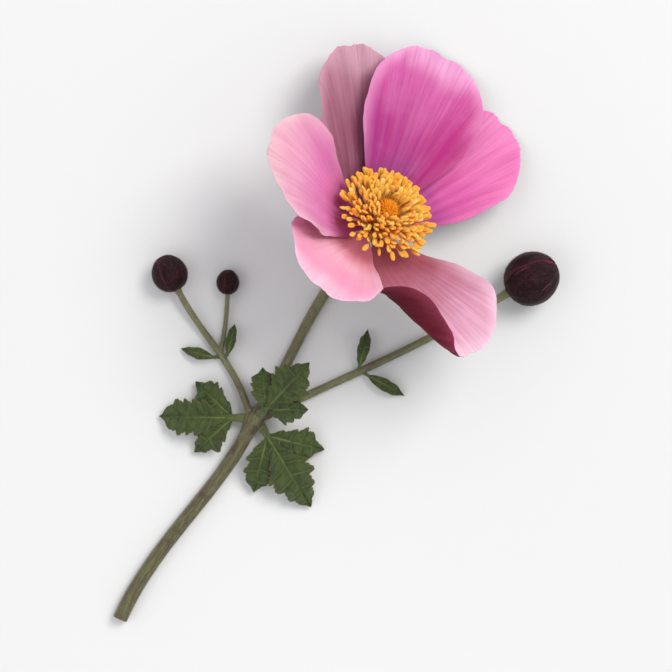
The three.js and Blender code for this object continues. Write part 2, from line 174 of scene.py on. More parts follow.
# ------------------------------------------------------------------ mesh building
class Mesh:
    """Gathers grids, strips and caps, with two UV maps, and becomes one Blender object."""

    def __init__(self):
        self.points, self.count = [], 0
        self.faces, self.uv_a, self.uv_b, self.mats = [], [], [], []

    def add_points(self, p):
        ids = self.count + np.arange(p.shape[0] * (p.shape[1] if p.ndim == 3 else 1))
        self.points.append(p.reshape(-1, 3))
        self.count += len(ids)
        return ids.reshape(p.shape[:-1])

    def quads(self, ids, a, b, mat=0, wrap=False):
        if wrap:
            ids = np.concatenate([ids, ids[:, :1]], 1)

        def corners(x):
            return np.stack([x[:-1, :-1], x[:-1, 1:], x[1:, 1:], x[1:, :-1]], 2)

        f = corners(ids).reshape(-1, 4)
        self.faces.append(f)
        self.uv_a.append(corners(a).reshape(-1, 2))
        self.uv_b.append(corners(b).reshape(-1, 2))
        self.mats.append(np.full(len(f), mat))

    def grid(self, p, a, b, mat=0, wrap=False):
        ids = self.add_points(p)
        self.quads(ids, a, b, mat, wrap)
        return ids

    def cap(self, ring, a, b, mat=0):
        self.faces.append(np.array(ring)[None, :])
        self.uv_a.append(np.array(a, float).reshape(-1, 2))
        self.uv_b.append(np.array(b, float).reshape(-1, 2))
        self.mats.append(np.full(1, mat))

    def tris(self, f, a, b, mat=0):
        self.faces.append(f)
        self.uv_a.append(a.reshape(-1, 2))
        self.uv_b.append(b.reshape(-1, 2))
        self.mats.append(np.full(len(f), mat))

    def sheet(self, front, back, a, b, mat_front=0, mat_back=1):
        """A closed thin body from its front and back grids, which share their borders' sides."""
        f = self.grid(front, a, b, mat_front)
        k = self.grid(back, a, b, mat_back)
        for rim in (np.s_[0, :], np.s_[-1, :], np.s_[:, 0], np.s_[:, -1]):
            self.quads(
                np.stack([f[rim], k[rim]]), np.stack([a[rim], a[rim]]), np.stack([b[rim], b[rim]]), mat_back
            )

    def build(self, name, materials, uv_names, nodes):
        pts = (np.concatenate(self.points) - ORIGIN) / 1000.0
        pts[:, 2] = np.maximum(pts[:, 2], 0.00001)
        loops = np.concatenate([f.reshape(-1) for f in self.faces])
        totals = np.concatenate([np.full(len(f), f.shape[1]) for f in self.faces])
        starts = np.concatenate([[0], np.cumsum(totals)[:-1]])
        me = bpy.data.meshes.new(name)
        me.vertices.add(len(pts))
        me.vertices.foreach_set("co", pts.astype(np.float32).ravel())
        me.loops.add(len(loops))
        me.loops.foreach_set("vertex_index", loops.astype(np.int32))
        me.polygons.add(len(totals))
        me.polygons.foreach_set("loop_start", starts.astype(np.int32))
        me.polygons.foreach_set("material_index", np.concatenate(self.mats).astype(np.int32))
        for label, values in zip(uv_names, (self.uv_a, self.uv_b)):
            layer = me.uv_layers.new(name=label)
            layer.data.foreach_set("uv", np.concatenate(values).astype(np.float32).ravel())
        for m in materials:
            me.materials.append(m)
        me.update(calc_edges=True)
        me.validate()
        bm = bmesh.new()
        bm.from_mesh(me)
        bmesh.ops.recalc_face_normals(bm, faces=bm.faces)
        bm.to_mesh(me)
        bm.free()
        me.shade_smooth()
        obj = bpy.data.objects.new(name, me)
        bpy.context.scene.collection.objects.link(obj)
        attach(obj, "root")
        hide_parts(*nodes)
        return obj


def uv_pair(x, y):
    x, y = np.broadcast_arrays(np.asarray(x, float), np.asarray(y, float))
    return np.stack([x, y], -1)


def add_hairs(mesh, at, normal, lean, length, radius, mat, seed):
    """Short tapered hairs that stand on a surface and bend towards lean."""
    r = np.random.default_rng(seed)
    n = len(at)
    length = np.asarray(length, float) * r.uniform(0.6, 1.15, n)
    d0 = unit(normal + 0.35 * lean + 0.22 * r.normal(size=(n, 3)))
    d1 = unit(normal * 0.45 + 1.0 * lean + 0.25 * r.normal(size=(n, 3)))
    s = unit(np.cross(d0, unit(r.normal(size=(n, 3)))))
    u = np.cross(d0, s)
    mid = at + d0 * (length * 0.5)[:, None]
    tip = mid + d1 * (length * 0.55)[:, None]
    root = at - d0 * 0.03
    ring = np.array([0, TAU / 3, 2 * TAU / 3])
    c, w = np.cos(ring)[None, :, None], np.sin(ring)[None, :, None]
    around = (s[:, None] * c + u[:, None] * w) * radius
    p = np.concatenate([root[:, None] + around, mid[:, None] + around * 0.7, tip[:, None]], 1)
    ids = mesh.add_points(p)
    tone = uv_pair(r.uniform(0, 1, n), 0.5)
    for k in range(3):
        m = (k + 1) % 3
        quad = np.stack([ids[:, k], ids[:, m], ids[:, 3 + m], ids[:, 3 + k]], 1)
        mesh.tris(quad, np.repeat(tone[:, None], 4, 1), np.repeat(tone[:, None], 4, 1), mat)
        tri = np.stack([ids[:, 3 + k], ids[:, 3 + m], ids[:, 6]], 1)
        mesh.tris(tri, np.repeat(tone[:, None], 3, 1), np.repeat(tone[:, None], 3, 1), mat)
    end = np.stack([ids[:, 2], ids[:, 1], ids[:, 0]], 1)
    mesh.tris(end, np.repeat(tone[:, None], 3, 1), np.repeat(tone[:, None], 3, 1), mat)


# ------------------------------------------------------------------ materials
def rgb(code):
    """A linear colour from a hex one."""
    c = [int(code[i : i + 2], 16) / 255 for i in (1, 3, 5)]
    return tuple(x / 12.92 if x <= 0.04045 else ((x + 0.055) / 1.055) ** 2.4 for x in c) + (1.0,)


class Nodes:
    """Short names for the shader nodes used here."""

    def __init__(self, name):
        self.mat = bpy.data.materials.new(name)
        self.mat.use_nodes = True
        self.tree = self.mat.node_tree
        self.tree.nodes.clear()
        self.out = self.tree.nodes.new("ShaderNodeOutputMaterial")
        self.bsdf = self.tree.nodes.new("ShaderNodeBsdfPrincipled")
        self.link(self.bsdf.outputs["BSDF"], self.out.inputs["Surface"])

    def link(self, a, b):
        self.tree.links.new(a, b)

    def put(self, socket, value):
        if hasattr(value, "is_output"):
            self.link(value, socket)
        else:
            socket.default_value = value

    def uv(self, name):
        n = self.tree.nodes.new("ShaderNodeUVMap")
        n.uv_map = name
        s = self.tree.nodes.new("ShaderNodeSeparateXYZ")
        self.link(n.outputs["UV"], s.inputs[0])
        return s.outputs["X"], s.outputs["Y"]

    def place(self):
        return self.tree.nodes.new("ShaderNodeTexCoord").outputs["Object"]

    def vector(self, x, y, z=0.0):
        n = self.tree.nodes.new("ShaderNodeCombineXYZ")
        for socket, value in zip(n.inputs, (x, y, z)):
            self.put(socket, value)
        return n.outputs[0]

    def math(self, op, a, b=0.0, c=0.0, clamp=False):
        n = self.tree.nodes.new("ShaderNodeMath")
        n.operation = op
        n.use_clamp = clamp
        self.put(n.inputs[0], a)
        self.put(n.inputs[1], b)
        self.put(n.inputs[2], c)
        return n.outputs[0]

    def noise(self, vector, scale, detail=2.0, rough=0.5, distort=0.0):
        n = self.tree.nodes.new("ShaderNodeTexNoise")
        self.link(vector, n.inputs["Vector"])
        n.inputs["Scale"].default_value = scale
        n.inputs["Detail"].default_value = detail
        n.inputs["Roughness"].default_value = rough
        n.inputs["Distortion"].default_value = distort
        return n.outputs["Fac"]

    def cells(self, vector, scale, feature="F1"):
        n = self.tree.nodes.new("ShaderNodeTexVoronoi")
        n.feature = feature
        self.link(vector, n.inputs["Vector"])
        n.inputs["Scale"].default_value = scale
        return n.outputs["Distance"]

    def span(self, x, a, b, c=0.0, d=1.0, soft=True):
        n = self.tree.nodes.new("ShaderNodeMapRange")
        n.interpolation_type = "SMOOTHSTEP" if soft else "LINEAR"
        self.put(n.inputs["Value"], x)
        for label, value in (("From Min", a), ("From Max", b), ("To Min", c), ("To Max", d)):
            n.inputs[label].default_value = value
        return n.outputs["Result"]

    def ramp(self, x, stops):
        n = self.tree.nodes.new("ShaderNodeValToRGB")
        n.color_ramp.interpolation = "EASE"
        e = n.color_ramp.elements
        while len(e) < len(stops):
            e.new(0.5)
        for slot, (at, colour) in zip(e, stops):
            slot.position = at
            slot.color = rgb(colour) if isinstance(colour, str) else colour
        self.put(n.inputs["Fac"], x)
        return n.outputs["Color"]

    def mix(self, fac, a, b, kind="MIX"):
        n = self.tree.nodes.new("ShaderNodeMix")
        n.data_type = "RGBA"
        n.blend_type = kind
        self.put(n.inputs[0], fac)
        self.put(n.inputs[6], rgb(a) if isinstance(a, str) else a)
        self.put(n.inputs[7], rgb(b) if isinstance(b, str) else b)
        return n.outputs[2]

    def bump(self, height, distance, strength=1.0):
        n = self.tree.nodes.new("ShaderNodeBump")
        n.inputs["Strength"].default_value = strength
        n.inputs["Distance"].default_value = distance
        self.link(height, n.inputs["Height"])
        self.link(n.outputs["Normal"], self.bsdf.inputs["Normal"])

    def set(self, **values):
        names = dict(
            color="Base Color", rough="Roughness", sheen="Sheen Weight", sheen_rough="Sheen Roughness",
            sheen_tint="Sheen Tint", spec="Specular IOR Level", sss="Subsurface Weight",
            sss_radius="Subsurface Radius", sss_scale="Subsurface Scale", coat="Coat Weight", coat_rough="Coat Roughness",
        )
        for key, value in values.items():
            if isinstance(value, str):
                value = rgb(value)
            self.put(self.bsdf.inputs[names[key]], value)
        return self.mat


def petal_material(name, base, mid, far, margin, vein, deep, streak=0.5, sheen=0.15, sss=0.4, rough=0.52, seed=0.0):
    """Pink petal skin: colour along its length, a painted shadow down one side, fanning veins, paler margins, satin
    cells.
    """
    n = Nodes(name)
    fan, along = n.uv("petal_uv")
    side, q = n.uv("petal_edge")
    drift = n.noise(n.place(), 95.0, 2.0, 0.5)
    q_moved = n.math("ADD", q, n.span(drift, 0.3, 0.7, -0.07, 0.07, False))
    body = n.ramp(q_moved, [(0.0, base), (0.17, base), (0.44, mid), (0.76, far), (1.0, margin)])
    # painted shade: one side of the tepal is darkened towards its deep colour, a painted shadow of the valley where it
    # meets its neighbour
    hand, painted_shade_colour, amount = deep
    off = n.math("MULTIPLY", n.math("SUBTRACT", fan, 0.5), float(hand))
    off = n.math("ADD", off, n.span(drift, 0.3, 0.7, -0.05, 0.05, False))
    painted_valley_shade = n.math("MULTIPLY", n.span(off, 0.02, 0.3, 0.0, amount), n.span(q, 0.95, 0.5))
    body = n.mix(painted_valley_shade, body, painted_shade_colour)
    fine = n.noise(n.vector(n.math("MULTIPLY", fan, 88.0), n.math("MULTIPLY", along, 3.4), seed), 1.0, 3.0, 0.6, 0.25)
    broad = n.noise(n.vector(n.math("MULTIPLY", fan, 19.0), n.math("MULTIPLY", along, 1.5), seed + 7.0), 1.0, 2.0, 0.5, 0.3)
    wander = n.noise(n.vector(n.math("MULTIPLY", fan, 5.0), n.math("MULTIPLY", along, 5.0), seed + 2.0), 1.0, 1.0)
    line = n.math("ABSOLUTE", n.math("SINE", n.math("ADD", n.math("MULTIPLY", fan, 64.0), n.math("MULTIPLY", wander, 3.0))))
    line = n.math("POWER", n.math("SUBTRACT", 1.0, line), 3.0)
    fade = n.span(q, 0.98, 0.3)
    veins = n.math("MULTIPLY", n.math("MULTIPLY", line, fade), streak * 0.75)
    streaks = n.math("MULTIPLY", n.span(fine, 0.42, 0.72), streak * 0.55)
    colour = n.mix(n.math("MULTIPLY", n.span(broad, 0.35, 0.75), streak * 0.55), body, vein)
    colour = n.mix(n.math("ADD", veins, streaks, clamp=True), colour, vein)
    rim = n.math("MULTIPLY", n.span(side, 0.72, 1.0), n.span(q, 0.12, 0.5))
    # the pale margin is held back along the painted shade
    rim = n.math("MULTIPLY", rim, n.math("SUBTRACT", 1.0, n.math("MULTIPLY", painted_valley_shade, 0.9)))
    colour = n.mix(n.math("MULTIPLY", rim, 0.55), colour, margin)
    pale = n.noise(n.place(), 150.0, 2.0, 0.5)
    colour = n.mix(n.span(pale, 0.5, 0.8, 0.0, 0.12), colour, margin)
    cell = n.noise(n.place(), 5200.0, 1.0)
    height = n.math("ADD", n.math("MULTIPLY", cell, 0.35), n.math("MULTIPLY", n.math("SUBTRACT", 1.0, line), 0.5))
    height = n.math("ADD", height, n.math("MULTIPLY", fine, 0.6))
    n.bump(height, 0.00007, 0.7)
    return n.set(
        color=colour, rough=n.span(fine, 0.3, 0.8, rough - 0.06, rough + 0.1), sheen=sheen, sheen_rough=0.35,
        spec=0.32, sss=sss, sss_radius=(1.0, 0.34, 0.55), sss_scale=0.0007,
    )


def back_material(name, base, mid, far, margin, seed=0.0, sheen=0.5, spec=0.3):
    """The silky back of a petal: darker at the base, with pale streaks of hair."""
    n = Nodes(name)
    fan, along = n.uv("petal_uv")
    side, q = n.uv("petal_edge")
    body = n.ramp(q, [(0.0, base), (0.1, base), (0.42, mid), (0.8, far), (1.0, margin)])
    silk = n.noise(n.vector(n.math("MULTIPLY", fan, 150.0), n.math("MULTIPLY", along, 9.0), seed), 1.0, 3.0, 0.65, 0.2)
    broad = n.noise(n.vector(n.math("MULTIPLY", fan, 20.0), n.math("MULTIPLY", along, 2.0), seed + 5.0), 1.0, 2.0)
    line = n.math("ABSOLUTE", n.math("SINE", n.math("MULTIPLY", fan, 64.0)))
    line = n.math("POWER", n.math("SUBTRACT", 1.0, line), 3.0)
    colour = n.mix(n.span(broad, 0.35, 0.75, 0.0, 0.5), body, base)
    colour = n.mix(n.math("MULTIPLY", line, n.span(q, 1.0, 0.2, 0.0, 0.5)), colour, base)
    colour = n.mix(n.span(silk, 0.52, 0.8, 0.0, 0.42), colour, margin)
    rim = n.math("MULTIPLY", n.span(side, 0.78, 1.0), n.span(q, 0.15, 0.5))
    colour = n.mix(n.math("MULTIPLY", rim, 0.5), colour, margin)
    height = n.math("ADD", silk, n.math("MULTIPLY", line, 0.7))
    n.bump(height, 0.0001, 0.7)
    return n.set(
        color=colour, rough=n.span(silk, 0.3, 0.8, 0.5, 0.68), sheen=sheen, sheen_rough=0.3, sheen_tint="#ffd3e6",
        spec=spec, sss=0.3, sss_radius=(1.0, 0.3, 0.5), sss_scale=0.0006,
    )


def stem_material(name, green, brown, light, purple=0.5):
    n = Nodes(name)
    around, along = n.uv("stem_uv")
    s, tone = n.uv("stem_tone")
    turn = n.math("MULTIPLY", around, TAU)
    cx, cy = n.math("COSINE", turn), n.math("SINE", turn)
    streak = n.noise(n.vector(n.math("MULTIPLY", cx, 4.0), n.math("MULTIPLY", cy, 4.0), n.math("MULTIPLY", along, 0.22)), 1.4, 4.0, 0.6)
    fine = n.noise(n.vector(n.math("MULTIPLY", cx, 9.0), n.math("MULTIPLY", cy, 9.0), n.math("MULTIPLY", along, 1.0)), 1.6, 3.0, 0.6)
    blotch = n.noise(n.place(), 420.0, 3.0, 0.6)
    colour = n.mix(n.span(streak, 0.36, 0.6), green, brown)
    colour = n.mix(n.math("MULTIPLY", tone, n.span(blotch, 0.3, 0.65, 0.35, 0.9)), colour, light)
    colour = n.mix(n.span(blotch, 0.5, 0.75, 0.0, purple), colour, brown)
    # pale fine streaks: partly the stem's own pale lines, partly painted highlight
    colour = n.mix(n.span(fine, 0.55, 0.75, 0.0, 0.35), colour, light)
    n.bump(n.math("ADD", fine, n.math("MULTIPLY", streak, 0.6)), 0.0001, 0.8)
    return n.set(
        color=colour, rough=n.span(fine, 0.3, 0.7, 0.42, 0.6), sheen=0.25, sheen_rough=0.4, spec=0.4,
        sss=0.12, sss_radius=(0.5, 0.6, 0.3), sss_scale=0.0006,
    )


def cut_material():
    """The cut end: green skin, a ring of pale strands and white pith."""
    n = Nodes("stem_cut_end")
    s, tone = n.uv("stem_tone")
    grain = n.noise(n.place(), 5200.0, 3.0, 0.6)
    colour = n.ramp(n.math("ADD", s, n.span(grain, 0.3, 0.7, -0.05, 0.05)), [(0.0, "#e4e3d2"), (0.42, "#d8d9bf"), (0.6, "#c3c79a"), (0.7, "#8e9a62"), (0.8, "#b4bb88"), (0.93, "#5d653a"), (1.0, "#4d4634")])
    n.bump(grain, 0.00012, 0.8)
    return n.set(color=colour, rough=0.6, spec=0.35, sss=0.1, sss_radius=(0.6, 0.6, 0.5), sss_scale=0.0004)


def leaf_material(name, deep, mid, painted_bulge_light, light, edge, back=False):
    n = Nodes(name)
    across, along = n.uv("leaf_uv")
    vein, margin = n.uv("leaf_form")
    mottle = n.noise(n.place(), 330.0, 4.0, 0.6)
    cell = n.cells(n.place(), 2300.0)
    net = n.cells(n.vector(n.math("MULTIPLY", across, 5.0), n.math("MULTIPLY", along, 5.0), 0.0), 1.5, "DISTANCE_TO_EDGE")
    colour = n.mix(n.span(mottle, 0.36, 0.66), deep, mid)
    # painted highlight: the raised bulges between the veins are coloured lighter, as if lit
    colour = n.mix(n.math("MULTIPLY", n.span(vein, 0.08, 0.42), n.span(mottle, 0.25, 0.7, 0.2, 0.75)), colour, painted_bulge_light)
    colour = n.mix(n.span(net, 0.12, 0.0, 0.0, 0.3), colour, light)
    colour = n.mix(n.math("MULTIPLY", n.span(vein, 0.52, 1.0), 0.8), colour, light)
    colour = n.mix(n.span(margin, 0.8, 1.0, 0.0, 0.65), colour, edge)
    height = n.math("ADD", n.math("MULTIPLY", n.span(net, 0.0, 0.2), 0.8), n.math("MULTIPLY", cell, 0.3))
    n.bump(height, 0.00012, 0.75)
    return n.set(
        color=colour, rough=n.span(mottle, 0.3, 0.7, 0.5 if back else 0.38, 0.62 if back else 0.52),
        sheen=0.3 if back else 0.12, sheen_rough=0.4, spec=0.3 if back else 0.42,
        sss=0.2, sss_radius=(0.4, 0.7, 0.2), sss_scale=0.0005,
    )


def bud_material(name, dark, mid, rim):
    n = Nodes(name)
    fan, along = n.uv("petal_uv")
    side, q = n.uv("petal_edge")
    silk = n.noise(n.vector(n.math("MULTIPLY", fan, 34.0), n.math("MULTIPLY", along, 7.0), 3.0), 1.0, 3.0, 0.6, 0.2)
    blotch = n.noise(n.place(), 380.0, 3.0, 0.6)
    colour = n.mix(n.span(blotch, 0.36, 0.68), dark, mid)
    colour = n.mix(n.span(silk, 0.52, 0.78, 0.0, 0.4), colour, rim)
    colour = n.mix(n.span(side, 0.86, 1.0, 0.0, 0.75), colour, rim)
    colour = n.mix(n.span(q, 0.25, 0.0, 0.0, 0.5), colour, "#3f3a22")
    n.bump(silk, 0.0001, 0.8)
    return n.set(
        color=colour, rough=n.span(silk, 0.3, 0.8, 0.55, 0.75), sheen=0.08, sheen_rough=0.35, sheen_tint="#e0a8bd",
        spec=0.14, sss=0.1, sss_radius=(1.0, 0.3, 0.4), sss_scale=0.0005,
    )


def hair_material(name, colour, pale=0.6, rough=0.45):
    n = Nodes(name)
    tone, _ = n.uv("petal_uv" if "bud" in name or "petal" in name else "stem_uv")
    shade = n.mix(n.math("MULTIPLY", tone, pale), colour, "#ffffff")
    return n.set(color=shade, rough=rough, spec=0.2, sss=0.2, sss_radius=(1.0, 0.8, 0.7), sss_scale=0.0002)


def anther_material():
    n = Nodes("anther_pollen")
    tone, along = n.uv("stamen_uv")
    groove, _ = n.uv("stamen_form")
    grain = n.noise(n.place(), 9000.0, 3.0, 0.7)
    colour = n.ramp(tone, [(0.0, "#ffa32c"), (0.35, "#ffb13c"), (0.75, "#ffc254"), (1.0, "#ffda7c")])
    # painted shade: the furrow between the anther's two lobes is coloured a deeper orange
    colour = n.mix(n.span(groove, 0.45, 1.0, 0.0, 0.4), colour, "#fa9020")
    # pale flecks: the pollen grains' own colour, partly a painted highlight on them
    colour = n.mix(n.span(grain, 0.5, 0.75, 0.0, 0.45), colour, "#ffdf74")
    n.bump(grain, 0.00012, 1.0)
    return n.set(color=colour, rough=0.8, sheen=0.15, sheen_rough=0.5, spec=0.15, sss=0.45, sss_radius=(1.0, 0.45, 0.08), sss_scale=0.0007)


def filament_material():
    n = Nodes("stamen_filament")
    tone, along = n.uv("stamen_uv")
    grain = n.noise(n.vector(tone, n.math("MULTIPLY", along, 6.0)), 9.0, 2.0)
    colour = n.ramp(along, [(0.0, "#ffab5c"), (0.35, "#ffbe5c"), (1.0, "#ffca54")])
    colour = n.mix(n.span(grain, 0.4, 0.7, 0.0, 0.3), colour, "#c96a22")
    n.bump(grain, 0.00004, 0.6)
    return n.set(color=colour, rough=0.5, spec=0.4, sss=0.35, sss_radius=(1.0, 0.6, 0.3), sss_scale=0.0004)


def carpel_material():
    n = Nodes("carpel_green_gold")
    tone, tip = n.uv("stamen_uv")
    grain = n.noise(n.place(), 6500.0, 2.0)
    colour = n.ramp(tip, [(0.0, "#b3620a"), (0.45, "#ea8606"), (0.8, "#f8960a"), (1.0, "#ffb02c")])
    colour = n.mix(n.math("MULTIPLY", tone, 0.18), colour, "#b8a526")
    colour = n.mix(n.span(grain, 0.5, 0.75, 0.0, 0.3), colour, "#e89a1c")
    n.bump(grain, 0.00006, 0.7)
    return n.set(color=colour, rough=0.6, sheen=0.08, sheen_rough=0.4, spec=0.2, sss=0.25, sss_radius=(0.9, 0.6, 0.1), sss_scale=0.0005)


# ------------------------------------------------------------------ tepals
def tepal_slope(t, q):
    return np.radians(
        10 + (t["c"] + 4 - 10) * smooth(q / 0.3) + (t["tip"] - 4) * smooth((q - 0.45) / 0.55)
    )


def tepal_outline(q, form, foot):
    k = np.clip(q, 0, 1)
    body = np.maximum(0, np.sin(np.pi * k**form)) ** (0.6 - 0.1 * smooth((k - 0.72) / 0.28))
    claw = (0.1 + (foot - 0.1) * smooth((q + 0.03) / 0.14)) * smooth((0.6 - q) / 0.35)
    return np.maximum((body**3 + claw**3) ** (1 / 3), 0.012)


def tepal_grid(t, ni=129, nj=124):
    """The mid surface of a tepal, its unit normals and the coordinates that run over it."""
    psi = rad(t["psi"])
    out = E1 * math.cos(psi) + E2 * math.sin(psi)
    across = -E1 * math.sin(psi) + E2 * math.cos(psi)
    N = 400
    a = tepal_slope(t, (np.arange(N) + 0.5) / N)
    rs = np.concatenate([[CLAW_RADIUS], CLAW_RADIUS + np.cumsum(np.cos(a)) * t["L"] / N])
    ws = -0.35 * t["layer"] + np.concatenate([[0], np.cumsum(np.sin(a)) * t["L"] / N])
    j = np.linspace(0, 1, nj)
    q = -0.03 + 1.03 * (1 - (1 - j) ** 1.65)
    r = np.where(q < 0, CLAW_RADIUS + q * t["L"] * math.cos(a[0]), np.interp(q, np.linspace(0, 1, N + 1), rs))
    w = np.where(q < 0, ws[0] + q * t["L"] * math.sin(a[0]), np.interp(q, np.linspace(0, 1, N + 1), ws))
    slope = tepal_slope(t, q)
    layer = -t["layer"] * (0.35 + 0.65 * smooth(q / 0.25)) + 0.35 * t["layer"]
    m = (ni - 1) // 2
    u = np.linspace(0, 1, m + 1)[None, :]
    mid_u = (u[:, 1:] + u[:, :-1]) / 2
    sides = []
    for k, (W, R, curl) in enumerate((t["b"], t["a"])):
        seed = t["seed"] + 100 * k
        edge_line = 1 + 0.016 * wobble(q * 9, seed, 1, 3) + 0.007 * wobble(q * 60, seed + 1, 0.8, 2.2, 8)
        outline = tepal_outline(q, t.get("form", 1.62), t.get("foot", 0.18))
        half = (W * outline * edge_line)[:, None]
        bend = rad(curl) * (smooth((q - 0.3) / 0.45) * np.where(q < 0.6, 1, np.minimum(1, outline / 0.85)))[:, None]
        turn = mid_u * half / R + bend * smooth((mid_u - 0.3) / 0.7)
        zero = np.zeros((nj, 1))
        sideways = np.concatenate([zero, np.cumsum(np.cos(turn) * half / m, 1)], 1)
        rise = np.concatenate([zero, np.cumsum(np.sin(turn) * half / m, 1)], 1)
        edge = u * half / R + bend * smooth((u - 0.3) / 0.7)
        sides.append((sideways, rise, edge, u * half + 0 * edge, u + 0 * edge))
    b, a_side = sides
    join = lambda i, sign: np.concatenate([sign * b[i][:, :0:-1], a_side[i]], 1)
    sideways, rise = join(0, -1), join(1, 1)
    edge, lateral, v = join(2, -1), join(3, -1), join(4, -1)
    q2 = q[:, None] + 0 * v
    # a shallow dip at the tip, and a far edge that is never quite even
    off = 1.1 * math.sin(t["seed"] * 2.3)
    dip = t["notch"] * np.exp(-(((lateral - off) / 2.1) ** 2)) + 0.006 * wobble(lateral * 0.55, t["seed"] + 6, 1, 3) + 0.004 * wobble(lateral * 2.2, t["seed"] + 7, 1, 3)
    q_far = q2 - dip * smooth((q2 - 0.72) / 0.28)
    r = np.where(q2 < 0, r[:, None] + 0 * q2, np.interp(q_far, np.linspace(0, 1, N + 1), rs))
    w = np.where(q2 < 0, w[:, None] + 0 * q2, np.interp(q_far, np.linspace(0, 1, N + 1), ws))
    normal_line = -np.sin(slope)[:, None] * out + np.cos(slope)[:, None] * AXIS
    # the tip leans a little to one side
    lean = t["L"] * 0.012 * wobble(np.array(t["seed"] * 1.7), 9) * smooth((q - 0.6) / 0.4) ** 2
    sideways = sideways + lean[:, None]
    point = (
        BASE + out * r[..., None] + AXIS * w[..., None] + across * sideways[..., None]
        + normal_line[:, None, :] * (rise + layer[:, None])[..., None]
    )
    normal = -across * np.sin(edge)[..., None] + normal_line[:, None, :] * np.cos(edge)[..., None]
    return point, normal, q2, v, lateral


def tepal_body(t):
    """Front and back faces with pleats, veins, waved margins and a thin edge."""
    p, n, q, v, lateral = tepal_grid(t)
    along = q * t["L"]
    fan = lateral / (along + 7.0)
    seed = t["seed"]
    k = np.abs(v)
    wave = np.where(v > 0, t["ruffle"][0], t["ruffle"][1]) * smooth((1.0 - q) / 0.16)
    phase = np.where(v > 0, 0.0, 1.9)
    lift = 0.10 * np.cos(fan * 58 + wobble(q * 4, seed) * 0.8) * smooth((q - 0.05) / 0.3) * (1 - 0.45 * q)
    lift += 0.13 * wobble2(fan * 7, q * 4, seed + 3, 1, 3) * smooth((q - 0.1) / 0.3)
    lift -= 0.16 * np.exp(-((fan / 0.045) ** 2)) * smooth(q / 0.2) * smooth((1.02 - q) / 0.35)
    lift += wave * k**5 * smooth((q - 0.25) / 0.3) * np.sin(q * (17 + 3 * np.sin(seed)) + seed + phase)
    lift += 0.16 * wave * k**10 * smooth((q - 0.3) / 0.2) * np.sin(q * 61 + seed * 2 + phase)
    lift -= 0.45 * wave * k**7 * smooth((q - 0.35) / 0.35)
    # fine veins: shallow on the face, raised on the back
    near = np.abs(((fan * 64 / np.pi + 0.5 + 0.12 * wobble(q * 5, seed + 9)) % 1.0) - 0.5) * np.pi / 64 * (along + 7.0)
    vein = np.exp(-((near / 0.17) ** 2)) * smooth((1.0 - q) / 0.5) * smooth((1 - k) / 0.15)
    thick = (0.36 - 0.17 * k**3) * (1 - 0.4 * np.clip(q, 0, 1) ** 3)
    thick *= 0.35 + 0.65 * smooth((1 - k) / 0.05) * smooth((1.0 - q) / 0.02)
    thick = thick * (1 + 0.5 * smooth((0.1 - q) / 0.1))
    front = p + n * (lift + thick / 2 - 0.035 * vein)[..., None]
    back = p + n * (lift - thick / 2 - 0.06 * vein)[..., None]
    a = uv_pair(fan + 0.5, along / 40.0)
    b = uv_pair(k, q)
    return front, back, a, b


# base, middle, far part, margin, veins, then the side painted in shade (hand, colour, amount): a painted shadow for
# the valley where two tepals meet
# each tepal's colours also hold painted light and shade: inner_1 and outer_2 are darkened as painted shade, inner_2
# and inner_3 are paler as painted light, on top of each tepal's own pink
TEPAL_FACES = {
    "outer_1": ("#a03a92", "#d75fa7", "#e67cb6", "#ec86bc", "#bb3a8b", (1, "#b31a7c", 0.9)),
    "inner_1": ("#872878", "#ac2a80", "#cd5a9f", "#eaa3ce", "#942272", (-1, "#b61476", 0.8)),
    "outer_2": ("#74344f", "#98566f", "#aa7186", "#c597a8", "#773651", (-1, "#7c3556", 0.6)),
    "inner_2": ("#a24478", "#dc7eb6", "#e0a2bb", "#e0b9c0", "#bf5f96", (-1, "#c465a0", 0.5)),
    "inner_3": ("#e28ca2", "#fab8ce", "#eb9abc", "#f0bed2", "#e696aa", (1, "#dd92a6", 0.35)),
    "outer_3": ("#98444f", "#bf7c94", "#dda6c0", "#eec8da", "#a15066", (-1, "#aa6272", 0.5)),
}
TEPAL_BACKS = {
    "outer_1": ("#4a1027", "#7c2049", "#a84477", "#cf83aa"),
    "inner_1": ("#782650", "#ab4478", "#c66f9f", "#dea0c0"),
    "outer_2": ("#4a1027", "#7c2049", "#a04573", "#c9809f"),
    "inner_2": ("#782650", "#ab4478", "#c66f9f", "#dea0c0"),
    "inner_3": ("#6c2046", "#9f3d6e", "#bf6896", "#dea0c0"),
    # outer_3's back is its own dark crimson, deepened by painted shade under its rolled tip
    "outer_3": ("#38060f", "#520a1a", "#640f26", "#84304a"),
}

for t in TEPALS:
    key = t["name"]
    face = petal_material(f"tepal_{key}_face", *TEPAL_FACES[key], seed=float(t["seed"]))
    back = back_material(f"tepal_{key}_back", *TEPAL_BACKS[key], seed=float(t["seed"]), sheen=0.02 if key == "outer_3" else 0.25, spec=0.14 if key == "outer_3" else 0.3)
    mesh = Mesh()
    mesh.sheet(*tepal_body(t), 0, 1)
    mesh.build(f"petal_{key}", [face, back], ("petal_uv", "petal_edge"), [f"tepal_{key}"])

# ------------------------------------------------------------------ stamens
ANTHER_RINGS, ANTHER_SIDES = 8, 12
FILAMENT_RINGS, FILAMENT_SIDES = 8, 6
STAMENS = 264


